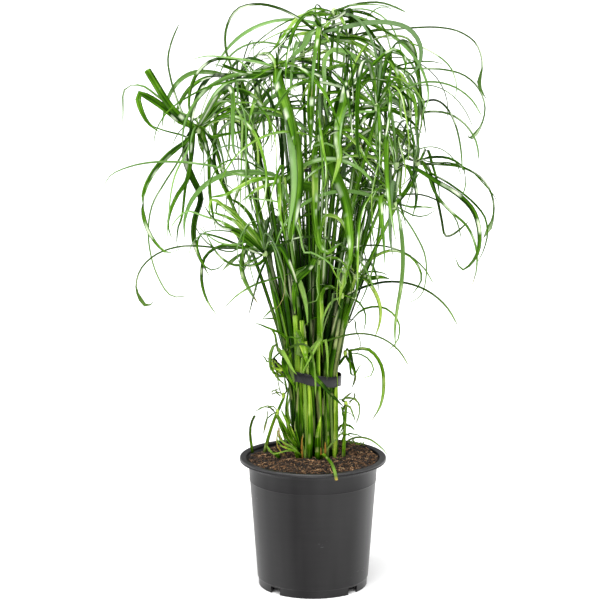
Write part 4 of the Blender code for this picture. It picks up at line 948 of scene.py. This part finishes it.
def traced_leaf(hub, row):
    """Knots and directions across of a traced leaf, which turns to face the viewer past its root."""
    width, look, (ahead,), trace = row
    start = hub + UP * (HUB_HEIGHT * ROOT_HEIGHT[0])
    knots = [start]
    for index, (x, z) in enumerate(trace):
        knots.append(seen(x, z, hub.y - ahead * (index + 1) / len(trace)))
    heading = knots[1] - start
    heading.z = 0
    rise = start + heading.normalized() * TRACED_RISE[0] + UP * TRACED_RISE[1]
    if (knots[1] - start).length > HUB_RISE * 1.6:
        knots.insert(1, rise)
    sides = []
    for index in range(len(knots)):
        along, flat = facing(knots, index)
        side = Matrix.Rotation(math.radians(LEAF_TURN), 3, along) @ flat
        sides.append(-side if sides and side.dot(sides[-1]) < 0 else side)
    return knots, sides, width, look


def shown(point):
    """Where the front view shows a point, as x and z on the plane y = 0."""
    spot = EYE + (point - EYE) * (EYE.y / (EYE.y - point.y))
    return spot.x, spot.z


def inside(x, z, outline):
    """Whether a place in the front view lies inside an outline."""
    odd = False
    for (x1, z1), (x2, z2) in zip(outline, outline[1:] + outline[:1]):
        if (z1 > z) != (z2 > z) and x < x1 + (z - z1) * (x2 - x1) / (z2 - z1):
            odd = not odd
    return odd


def covers(place):
    """Whether a leaf there would hide one of the big leaves at the front."""
    x, z = shown(place)
    return place.y < KEEP_CLEAR_DEPTH and any(
        left < x < right and low < z < high for left, low, right, high in KEEP_CLEAR)


def hanging_knots(start, length, draw):
    """Knots of a leaf that rises from its crown, arches over, hangs and curls, drifting to one side."""
    heading = draw.uniform(0, 2 * math.pi)
    sway = math.radians(draw.uniform(-FILL_SWAY, FILL_SWAY))
    rise = min(math.radians(draw.uniform(*FILL_RISE)), (PLANT_TOP - start.z) / FILL_CLIMB)
    hang = math.radians(draw.uniform(*(FILL_TOP_HANG if start.z > FILL_TOP else FILL_HANG)))
    turn = draw.uniform(*FILL_TURN)
    curl = math.radians(draw.uniform(*FILL_CURL))
    knots = [start]
    for step in range(FILL_STEPS):
        share = step / (FILL_STEPS - 1)
        bend = min(1.0, share / turn)
        pitch = rise - (rise + hang) * bend * bend * (3 - 2 * bend) - curl * max(0.0, share - 0.7) / 0.3
        way = heading + sway * share
        ahead = Vector((math.cos(way) * math.cos(pitch), math.sin(way) * math.cos(pitch), math.sin(pitch)))
        knots.append(knots[-1] + ahead * length / FILL_STEPS)
    return knots


def ruled_leaf(hub, lengths, widths, draw):
    """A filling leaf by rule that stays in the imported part's box and in the front view's outline."""
    start = hub + UP * (HUB_HEIGHT * ROOT_HEIGHT[1])
    low, high = (Vector(corner) / MM for corner in cad_box)
    for _ in range(FILL_TRIES):
        knots = hanging_knots(start, draw.uniform(*lengths), draw)
        boxed = all(low[axis] + FILL_ROOM < knot[axis] < high[axis] - FILL_ROOM
                    for knot in knots for axis in range(3))
        between = [(first + second) / 2 for first, second in zip(knots, knots[1:])]
        boxed = boxed and not any(covers(place) for place in knots + between)
        if boxed and all(inside(*shown(knot), FILL_OUTLINE) for knot in knots[3:]):
            break
    else:
        return None
    side = (knots[-1] - knots[0]).cross(UP).normalized()
    twist = draw.uniform(-FILL_TWIST, FILL_TWIST)
    start_turn = draw.uniform(-FILL_ROOT_TURN, FILL_ROOT_TURN)
    sides = [Matrix.Rotation(start_turn + twist * index / FILL_STEPS, 3, direction(knots, index)) @ side
             for index in range(len(knots))]
    return knots, turned_to_view(knots, sides), draw.uniform(*draw.choice(widths)), leaf_look(draw)


def inner_blade(draw):
    """A broad blade among the stems: from the soil through the strap and out with the fan of the bundle."""
    angle = draw.uniform(0, 2 * math.pi)
    reach = math.sqrt(draw.random())
    spread = Vector((INNER_HALF[0] * reach * math.cos(angle), INNER_HALF[1] * reach * math.sin(angle), 0))
    top = draw.uniform(*INNER_TOP)
    foot = INNER_FOOT + spread * INNER_FOOT_HALF
    knots = [foot, foot.lerp(INNER_TIE + spread, 0.5), INNER_TIE + spread]
    for step in range(1, INNER_STEPS + 1):
        height = (top - INNER_TIE.z) * step / INNER_STEPS
        fan = 1 + INNER_FAN * height + INNER_SPLAY * (step == INNER_STEPS)
        knots.append(INNER_TIE + Vector((spread.x * fan, spread.y * fan, height)))
    side = Matrix.Rotation(draw.uniform(-INNER_TURN, INNER_TURN), 3, "Z") @ Vector((1, 0, 0))
    middle, wide, least, most = INNER_TONES
    tone = min(most, max(least, draw.gauss(middle, wide)))
    return knots, [side] * len(knots), draw.uniform(*INNER_WIDTH), (tone, 0.0, 0.0)


class Room:
    """The leaves and stems that stand already, to which new leaves keep their distance."""

    def __init__(self):
        self.trees = []

    def tree(self, solid):
        return BVHTree.FromPolygons([tuple(point) for point in solid[0]], solid[1])

    def add(self, solid):
        self.trees.append(self.tree(solid))
        return solid

    def touches(self, solid):
        tree = self.tree(solid)
        return sum(len(tree.overlap(other)) for other in self.trees)


def placed_leaf(parts, room, draw, pushes=PUSHES):
    """A leaf at the push along the line of sight at which it touches least."""
    knots, sides, width, look = parts
    best = None
    state = draw.getstate()
    for push in pushes:
        draw.setstate(state)
        moved = [EYE + (knot - EYE) * (1 - push * min(1.0, index / PUSH_KNOTS) / EYE.y)
                 for index, knot in enumerate(knots)]
        solid = fine_leaf(moved, sides, width, look, draw)
        count = room.touches(solid)
        if best is None or count < best[0]:
            best = (count, solid)
        if not count:
            break
    room.add(best[1])
    return best[1]


def stem_tube(centres, radii, look, draw):
    """Points, faces and marks of a smooth stem with three blunt corners."""
    route = curve_through(centres, STEM_STEP, STEM_STEPS_MOST)
    places = [place for place, _ in route]
    rings, marks = [], []
    turn = draw.uniform(0, 2)
    for index, (place, knot) in enumerate(route):
        along = direction(places, index)
        across = Vector((0, 1, 0)).cross(along).normalized()
        other = along.cross(across)
        radius = read_between(radii, knot)
        ring = []
        for side, angle in enumerate(angles_round(STEM_SIDES)):
            reach = radius * (1 + STEM_CORNERS * math.cos(3 * angle + turn))
            ring.append(place + across * (reach * math.cos(angle)) + other * (reach * math.sin(angle)))
            marks.append((look[0], place.z / STEM_TURN, abs(side / STEM_SIDES - 0.5) * 2, look[1]))
        rings.append(ring)
    return *skin(rings), marks


def rings_of(points, count):
    """Centres and radii of rings of count points, sorted by height."""
    centres = []
    radii = []
    for first in range(0, len(points) - count + 1, count):
        ring = points[first:first + count]
        centre = sum(ring, Vector()) / count
        centres.append(centre)
        radii.append(sum((point - centre).length for point in ring) / count)
    return centres, radii


def turned(profile, sides, mark):
    """Points, faces and marks of a profile of (radius, height) turned round the z axis, closed on the axis."""
    rings = [[Vector((radius * math.cos(angle), radius * math.sin(angle), height)) for angle in angles_round(sides)]
             for radius, height in profile[1:-1]]
    points, faces = skin([[Vector((0, 0, profile[0][1]))], *rings, [Vector((0, 0, profile[-1][1]))]])
    return points, faces, [mark] * len(points)


def hub_knob(place, look, size):
    """The small knob from which a crown's leaves spring."""
    points, faces, marks = turned(KNOB, KNOB_SIDES, (look[0], 0.3, 0.5, look[1]))
    return [point * size + place for point in points], faces, marks


def leaf_look(draw):
    """A tone that is mostly mid green, now and then dark, bright or pale, and here and there a dry tip."""
    tone = min(0.95, max(0.12, draw.gauss(0.4, 0.13) + draw.choice((0, 0, 0, 0, 0.15, 0.3))))
    age = draw.choice((0, 0, 0, 0, 0.1, 0.35, 0.55))
    return tone, age, max(age, draw.choice((0, 0, 0, 0, 0, 0, 0.3, 0.85)))


def dressed_leaf(name, tip, rings, draw):
    """The fine leaf in place of a CAD leaf, with its look and form by its node and by where its tip shows."""
    knots, sides, width = read_leaf(tip, rings)
    width *= LEAF_SLIM[0] + LEAF_SLIM[1] * width
    look = NODE_LOOKS.get(name) or leaf_look(draw)
    end = shown(tip)
    if name.startswith("crown_") and not inside(*end, FILL_OUTLINE):
        look = (draw.uniform(*OUTER_TONES), *draw.choice(OUTER_AGES))
    form = "blunt" if name in NODE_LOOKS else "leaf"
    if any(math.dist(end, spot) < TIP_REACH for spot in THIN_TIPS):
        form, width = "thread", draw.uniform(*THIN_WIDTH)
    for spot, kind in LEAF_ENDS.items():
        if math.dist(end, spot) < TIP_REACH:
            form, width = kind
    if form in ("thread", "hook"):
        look = (draw.uniform(*THIN_TONES), draw.uniform(*THIN_AGES[0]), draw.uniform(*THIN_AGES[1]))
        sides = flat_sides(knots)
    if math.dist(end, BLUNT_TIP) < BLUNT_REACH:
        form, look = "blunt", LOOKS["MID"]
        width *= BLUNT_WIDER
    return fine_leaf(knots, sides, width, look, draw, form)


def nodes_named(*starts):
    """The CAD nodes whose names start so, in order."""
    return sorted(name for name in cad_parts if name.startswith(starts))


def make_crowns(room, draw):
    """Shapes of the crowns, shoots and blades with the CAD part's own leaves, and the places of their hubs."""
    shapes, hubs = {}, {}
    for name in nodes_named("crown_", "shoot_", "blade_"):
        leaves, rest = peel_leaves(*welded(name))
        shape = shapes[name] = Shape()
        for tip, rings in leaves:
            shape.add(*room.add(dressed_leaf(name, tip, rings, draw)))
        if name.startswith("blade_"):
            continue
        hub = hubs[name] = sum(rest[-HUB_POINTS:SHOOT_SIDES - HUB_POINTS], Vector()) / SHOOT_SIDES
        shoot = name.startswith("shoot_")
        shape.add(*hub_knob(hub, HUB_LOOKS.get(name, HUB_LOOK), SHOOT_KNOB if shoot else 1.0))
        if shoot:
            centres, radii = rings_of(rest[:-HUB_POINTS], SHOOT_SIDES)
            look = (draw.uniform(*SHOOT_TONES), 0.0)
            shape.add(*room.add(stem_tube([*centres, hub], [*radii, radii[-1] * SHOOT_TOP], look, draw)))
    return shapes, hubs


def make_stems(room, draw, material):
    """The tall and the cut stems, with painted shade that makes them darker towards the back of the bundle."""
    for name in nodes_named("culm_", "cut_stem_"):
        points, _ = welded(name)
        centres, radii = rings_of(sorted(points, key=lambda point: point.z), CULM_SIDES)
        back = min(centres, key=lambda centre: abs(centre.z - STRAP_CENTRE.z)).y
        # Painted shade: the further back a stem stands at the strap, the darker its tone.
        tone = draw.uniform(*STEM_TONES) - STEM_BACK_SHADE[0] * (back + STEM_BACK_SHADE[1])
        tone = min(STEM_TONES_KEPT[1], max(STEM_TONES_KEPT[0], tone))
        slim = STEM_SLIMS.get(name, STEM_SLIM)
        shape = Shape()
        shape.add(*room.add(stem_tube(centres, [radius * slim for radius in radii],
                                      STEM_LOOKS.get(name, (tone, 0.0)), draw)))
        add_piece("fine_" + name, shape, material, name)


def make_foot(rows, room, draw):
    """Shape of the blades, scraps and roots at the bundle's foot and of the broad blades inside it."""
    foot = Shape()
    for width, look, (near_depth, far_depth), trace in rows:
        knots = [seen(x, z, near_depth + (far_depth - near_depth) * index / (len(trace) - 1))
                 for index, (x, z) in enumerate(trace)]
        foot.add(*placed_leaf((knots, flat_sides(knots), width, look), room, draw, FEW_PUSHES))
    knots = [Vector(point) for point in OVER_RIM]
    foot.add(*fine_leaf(knots, flat_sides(knots), OVER_RIM_WIDTH, LOOKS["PALE"], draw))
    for _ in range(INNER_COUNT):
        foot.add(*placed_leaf(inner_blade(draw), room, draw, FEW_PUSHES))
    return foot


def fill_crowns(shapes, hubs, room, draw):
    """Fill the crowns and shoots with leaves by rule."""
    for name, hub in hubs.items():
        lengths, widths, count = SHOOT_FILL_LENGTH, SHOOT_FILL_WIDTHS, FILL_COUNTS.get(name, 0)
        if name.startswith("crown_"):
            lengths, widths = FILL_TOP_LENGTH if hub.z > FILL_TOP else FILL_LENGTH, FILL_WIDTHS
            count = round(FILL_COUNTS.get(name, FILL_COUNT) * FILL_MORE[hub.z < FILL_LOW])
        for _ in range(count):
            parts = ruled_leaf(hub, lengths, widths, draw)
            if parts:
                shapes[name].add(*placed_leaf(parts, room, draw, FEW_PUSHES))


def make_plant(materials):
    """Stems, crowns, shoots and blades, each piece in place of its CAD node."""
    room = Room()
    draw = random.Random(5)
    rows = traced_rows()
    foot_rows = rows.pop("foot")
    shapes, hubs = make_crowns(room, draw)
    make_stems(room, draw, materials["stem"])
    for name, leaves in rows.items():
        for row in leaves:
            shapes[name].add(*placed_leaf(traced_leaf(hubs[name], row), room, draw))
    add_piece("foot_blades", make_foot(foot_rows, room, draw), materials["leaf"], None)
    fill_crowns(shapes, hubs, room, draw)
    for name, shape in shapes.items():
        add_piece("fine_" + name, shape, materials["leaf"], name)


def boxes(angles, inner, outer, width, low, high):
    """Boxes that point out from the z axis, one at each angle from the front."""
    shape = Shape()
    for angle in angles:
        turn = Matrix.Rotation(math.radians(angle), 3, "Z")
        points = [turn @ Vector((side * width / 2, -reach, height)) for height in (low, high)
                  for side, reach in ((-1, inner), (1, inner), (1, outer), (-1, outer))]
        shape.add(points, [(0, 1, 2, 3), (4, 5, 6, 7), *band(0, 4, 4)], [])
    return shape


def cut_away(piece, shape):
    """Take a shape out of a piece and keep the result as the piece's mesh."""
    cutter = add_piece("cutter", shape, piece.data.materials[0])
    boolean = piece.modifiers.new("cut", "BOOLEAN")
    boolean.operation = "DIFFERENCE"
    boolean.solver = "EXACT"
    boolean.object = cutter
    view = bpy.context.evaluated_depsgraph_get()
    view.update()
    result = bpy.data.meshes.new_from_object(piece.evaluated_get(view))
    piece.modifiers.clear()
    piece.data = result
    bpy.data.objects.remove(cutter)


def make_pot(material):
    """The nursery pot with a rolled lip, a collar, a recessed foot with notches and drain slots."""
    channel_top = CHANNEL_HEIGHT + POT_FLOOR
    inner_top = COLLAR_RADIUS - POT_WALL + FLARE_REACH
    profile = (
        (0, 0), (CENTRE_RADIUS, 0), (CHANNEL_INNER, CHANNEL_HEIGHT), (CHANNEL_OUTER - 0.6, CHANNEL_HEIGHT),
        (CHANNEL_OUTER + 0.4, 0.2), (CHANNEL_OUTER + 0.9, 0), (FOOT_RADIUS - 0.4, 0), (FOOT_RADIUS, 0.4),
        (FOOT_RADIUS + 0.4, FOOT_HEIGHT - 0.6), (FOOT_RADIUS + 0.8, FOOT_HEIGHT),
        (BODY_FOOT_RADIUS - 0.2, FOOT_HEIGHT + 0.5), (BODY_FOOT_RADIUS, FOOT_HEIGHT + 1.2),
        (BODY_TOP_RADIUS, COLLAR_FOOT - 1.2), (BODY_TOP_RADIUS + 0.35, COLLAR_FOOT - 0.4),
        (BODY_TOP_RADIUS + 0.7, COLLAR_FOOT + 0.2), (BODY_TOP_RADIUS + 0.45, COLLAR_FOOT + 1.2),
        (COLLAR_RADIUS, FLARE_FOOT - 1.5), (COLLAR_RADIUS + 0.5, FLARE_FOOT),
        (COLLAR_RADIUS + 2.2, FLARE_FOOT + 2.4), (COLLAR_RADIUS + FLARE_REACH, LIP_UNDER - 0.4),
        (COLLAR_RADIUS + FLARE_REACH + 1.0, LIP_UNDER), (RIM_RADIUS - 1.0, LIP_UNDER),
        (RIM_RADIUS - 0.3, LIP_UNDER + 0.4), (RIM_RADIUS, LIP_UNDER + 1.2), (RIM_RADIUS - 0.3, LIP_UNDER + 1.9),
        (RIM_RADIUS - 0.4, LIP_UNDER + 2.4), (RIM_RADIUS, LIP_UNDER + 3.0), (RIM_RADIUS - 0.2, RIM_TOP - 0.6),
        (RIM_RADIUS - 1.0, RIM_TOP), (inner_top + 1.6, RIM_TOP - 0.3), (inner_top + 0.5, RIM_TOP - 0.7),
        (inner_top, RIM_TOP - 1.5), (inner_top, FLARE_TOP), (COLLAR_RADIUS - POT_WALL, FLARE_FOOT),
        (BODY_FOOT_RADIUS - POT_WALL, channel_top), (CHANNEL_INNER - 1.0, channel_top),
        (CENTRE_RADIUS - 1.2, POT_FLOOR), (0, POT_FLOOR),
    )
    shape = Shape()
    shape.add(*turned(profile, POT_SIDES, (0, 0, 0, 0)))
    pot = add_piece("nursery_pot", shape, material, "pot")
    cut_away(pot, boxes(NOTCH_ANGLES, CHANNEL_OUTER - DRAIN_EDGE, RIM_RADIUS, NOTCH_WIDTH, -1.0, NOTCH_HEIGHT))
    cut_away(pot, boxes(NOTCH_ANGLES, CHANNEL_INNER + DRAIN_EDGE, CHANNEL_OUTER - DRAIN_EDGE, DRAIN_WIDTH,
                        CHANNEL_HEIGHT - 1.0, channel_top + 1.0))
    pot.data.shade_smooth()
    pot.data.set_sharp_from_angle(angle=math.radians(POT_SHARP))


def ribbon(way, thickness):
    """Points, faces and marks of a flat strap with rounded edges on a way of (place, height) pairs."""
    outline = ((-0.5, -0.2), (-0.46, -0.5), (0.46, -0.5), (0.5, -0.2), (0.5, 0.2), (0.46, 0.5), (-0.46, 0.5),
               (-0.5, 0.2))
    places = [place for place, _ in way]
    rings, marks = [], []
    for index, (place, height) in enumerate(way):
        along = direction(places, index)
        across = (UP - along * along.z).normalized()
        out = along.cross(across)
        rings.append([place + across * (high * height) + out * (painted_shade_inside * thickness) for high, painted_shade_inside in outline])
        marks += [(0, index / len(way), high + 0.5, 0) for high, _ in outline]
    return *skin(rings), marks


def make_strap(material):
    """The black strap round the bundle, its edges a little wavy, with its ruffled tail at the left."""
    knots = [Vector(row[:3]) for row in STRAP_TAIL]
    heights = [row[3] for row in STRAP_TAIL]
    way = []
    for place, knot in curve_through(knots, 1.5, 20)[:-1]:
        ruffle = Vector((0, math.sin(knot * 5.0), 0.6 * math.sin(knot * 7.0)))
        way.append((place + ruffle * (1 - knot / 3), read_between(heights, knot)))
    (rise, rises), (swell, swells) = STRAP_WAVES
    for step in range(STRAP_STEPS + 1):
        share = step / STRAP_STEPS
        angle = math.radians(STRAP_START + (360 + STRAP_LAP) * share)
        room = STRAP_LAP_ROOM * (1 - share)
        place = STRAP_CENTRE + Vector(((STRAP_HALF[0] + room) * math.cos(angle),
                                       (STRAP_HALF[1] + room) * math.sin(angle), 0))
        place.z += rise * math.sin(angle * rises) - STRAP_TILT * place.x
        way.append((place, STRAP_HEIGHT + swell * math.sin(angle * swells)))
    shape = Shape()
    shape.add(*ribbon(way, STRAP_THICKNESS))
    add_piece("fine_strap", shape, material, "strap", sharp=STRAP_SHARP)


class Ground:
    """The packed soil's surface, to stand things on."""

    def __init__(self):
        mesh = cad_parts["soil"].data
        self.tree = BVHTree.FromPolygons([tuple(vertex.co / MM) for vertex in mesh.vertices],
                                         [tuple(face.vertices) for face in mesh.polygons])

    def height(self, x, y):
        spot = self.tree.ray_cast(Vector((x, y, 400.0)), -UP)[0]
        return spot.z if spot else 0.0

    def reach(self, angle):
        """How far the soil's top goes out from the pot's middle in a direction."""
        radius = PEAT_RADIUS
        while self.height(radius * math.cos(angle), radius * math.sin(angle)) < SOIL_LOWEST:
            radius -= 0.2
        return radius

    def crust(self, x, y):
        """The height of the crumbly surface that lies on the soil."""
        rough = noise.fractal(Vector((x * CRUST_GRAIN, y * CRUST_GRAIN, 3.0)), 0.7, 2.1, 5)
        return self.height(x, y) + CRUST_LIFT + max(CRUST_ROUGH[0], CRUST_ROUGH[1] * rough)


def make_crust(ground, material):
    """The peat's crumbly top: a fine disc over the soil that reaches the pot's wall."""
    angles = angles_round(CRUST_SIDES)
    reaches = [ground.reach(angle) - 0.1 for angle in angles]
    middle = Vector((0, 0, ground.crust(0, 0)))
    rings = [[middle]]
    for ring in range(1, CRUST_RINGS + 1):
        rings.append([])
        for angle, reach in zip(angles, reaches):
            x, y = (reach * ring / CRUST_RINGS * part for part in (math.cos(angle), math.sin(angle)))
            rings[-1].append(Vector((x, y, ground.crust(x, y))))
    rings.append([Vector((x, y, z - CRUST_DEPTH)) for x, y, z in rings[-1]])
    rings.append([Vector((0, 0, middle.z - CRUST_DEPTH))])
    points, faces = skin(rings)
    shape = Shape()
    shape.add(points, faces, [(0.28 + 0.5 * noise.noise(point * 0.35), 0, 0, 0) for point in points])
    add_piece("peat_crust", shape, material, None)


def thread(way, radius, mark):
    """Points, faces and marks of a thin three-sided thread that ends in points."""
    rings = []
    for index, place in enumerate(way[1:-1], 1):
        along = direction(way, index)
        across = along.orthogonal().normalized()
        other = along.cross(across)
        rings.append([place + (across * math.cos(angle) + other * math.sin(angle)) * radius
                      for angle in angles_round(3)])
    points, faces = skin([way[:1], *rings, way[-1:]])
    return points, faces, [mark] * len(points)


def spot_on_peat(draw, radius):
    """A random place on the peat, within a radius."""
    reach = radius * math.sqrt(draw.random())
    angle = draw.uniform(0, 2 * math.pi)
    return reach * math.cos(angle), reach * math.sin(angle)


def random_mark(draw, tones):
    """A mark with a random tone, round a middle and with a spread."""
    return min(1.0, max(0.0, draw.gauss(*tones))), 0, 0, 0


def make_fibres(ground, material):
    """Loose fibres on the peat. The crumbs go on with the random draws that it returns."""
    draw = random.Random(8)
    fibres = Shape()
    for _ in range(FIBRE_COUNT):
        x, y = spot_on_peat(draw, PEAT_RADIUS * FIBRE_REACH)
        length = draw.uniform(*FIBRE_LENGTH)
        heading = draw.uniform(0, 2 * math.pi)
        bend = draw.uniform(-FIBRE_BEND, FIBRE_BEND)
        lift = draw.uniform(*FIBRE_LIFT)
        way = []
        for step in range(FIBRE_STEPS + 1):
            if ground.height(x, y) < SOIL_LOWEST:
                break
            rise = lift * math.sin(math.pi * step / FIBRE_STEPS)
            way.append(Vector((x, y, ground.crust(x, y) + FIBRE_REST + rise)))
            turn = heading + bend * step / FIBRE_STEPS
            x += math.cos(turn) * length / FIBRE_STEPS
            y += math.sin(turn) * length / FIBRE_STEPS
        else:
            mark = random_mark(draw, FIBRE_TONES)
            fibres.add(*thread(way, draw.uniform(*FIBRE_RADIUS), mark))
    add_piece("peat_fibres", fibres, material, None)
    return draw


def make_crumbs(ground, material, draw):
    """Loose crumbs on the peat."""
    crumbs = Shape()
    for _ in range(CRUMB_COUNT):
        x, y = spot_on_peat(draw, PEAT_RADIUS - 2)
        if ground.height(x, y) < SOIL_LOWEST:
            continue
        size = draw.uniform(*CRUMB_SIZE)
        centre = Vector((x, y, ground.crust(x, y) + size * 0.3))
        turn = Matrix.Rotation(draw.uniform(0, 3), 3, Vector((draw.random(), draw.random(), 1)))
        points = [centre + turn @ Vector(corner) * size * draw.uniform(*CRUMB_UNEVEN)
                  for corner in CRUMB_CORNERS]
        crumbs.add(points, CRUMB_FACES, [random_mark(draw, CRUMB_TONES)] * len(points))
    add_piece("peat_crumbs", crumbs, material, None)


def make_tufts(ground, material):
    """Short grass and moss on the heap of peat at the back right."""
    draw = random.Random(21)
    tufts = Shape()
    for _ in range(TUFT_COUNT):
        x, y = (middle + draw.gauss(0, spread) for middle, spread in zip(TUFT_CENTRE, TUFT_SPREAD))
        if ground.height(x, y) < SOIL_LOWEST:
            continue
        root = Vector((x, y, ground.crust(x, y) - 0.5))
        lean = Vector((draw.uniform(-TUFT_LEAN, TUFT_LEAN), draw.uniform(-TUFT_LEAN, TUFT_LEAN),
                       draw.uniform(*TUFT_HEIGHT)))
        knots = [root, root + lean * 0.5, root + lean + Vector((lean.x * 0.5, 0, -1))]
        tufts.add(*fine_leaf(knots, [Vector((1, 0, 0))] * 3, draw.uniform(*TUFT_WIDTH),
                             (draw.uniform(*TUFT_TONES), *TUFT_AGES), draw))
    add_piece("moss_tufts", tufts, material, None)


def make_stage():
    """Camera, floor, sky and soft lights."""
    camera = stand("camera", bpy.data.cameras.new("camera"))
    camera.location = EYE * MM
    camera.rotation_euler = (math.radians(CAMERA_TILT), 0, 0)
    camera.data.lens = CAMERA_LENS
    camera.data.sensor_width = CAMERA_SENSOR
    camera.data.clip_end = CAMERA_FAR
    bpy.context.scene.camera = camera
    half = FLOOR_SIZE / 2 * MM
    mesh = bpy.data.meshes.new("floor")
    mesh.from_pydata([(-half, -half, 0), (half, -half, 0), (half, half, 0), (-half, half, 0)], [], [(0, 1, 2, 3)])
    mesh.materials.append(floor_finish())
    stand("floor", mesh)
    world = bpy.data.worlds.new("white_studio")
    world.use_nodes = True
    world.node_tree.nodes["Background"].inputs["Color"].default_value = (1.0, 1.0, 1.0, 1.0)
    world.node_tree.nodes["Background"].inputs["Strength"].default_value = WORLD_POWER
    bpy.context.scene.world = world
    bpy.context.scene.view_settings.view_transform = "Standard"
    sky = bpy.data.lights.new("sky", "SUN")
    sky.energy = SUN_POWER
    sky.angle = math.radians(SUN_SPREAD)
    stand("sky", sky).rotation_euler = [math.radians(turn) for turn in SUN_TURN]
    light = bpy.data.lights.new("key", "AREA")
    light.size = KEY_SIZE
    light.energy = KEY_POWER
    lamp = stand("key", light)
    lamp.location = KEY_PLACE
    lamp.rotation_mode = "QUATERNION"
    lamp.rotation_quaternion = (Vector(PLANT_MIDDLE) - Vector(KEY_PLACE)).to_track_quat("-Z", "Y")


def main():
    """Materials, stage, pot, peat, strap and plant."""
    materials = {
        # The last number of each green finish is the most of its painted highlight.
        "leaf": green_finish("papyrus_leaf", 14.0, 0.36, 0.85),
        "stem": green_finish("papyrus_stem", 18.0, 0.4, 0.12),
        "pot": plastic_finish("black_pot_plastic", (0.005, 0.0045, 0.005), 0.36, lipped=True),
        "strap": plastic_finish("black_strap_plastic", (0.005, 0.005, 0.006), 0.3),
        "peat": peat_finish(),
    }
    make_stage()
    make_pot(materials["pot"])
    for name, material in (("soil", "peat"), ("upper_tie", "strap")):
        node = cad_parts[name]
        node.data.materials.clear()
        node.data.materials.append(materials[material])
    ground = Ground()
    make_crust(ground, materials["peat"])
    draw = make_fibres(ground, materials["peat"])
    make_crumbs(ground, materials["peat"], draw)
    make_tufts(ground, materials["leaf"])
    make_strap(materials["strap"])
    make_plant(materials)


main()
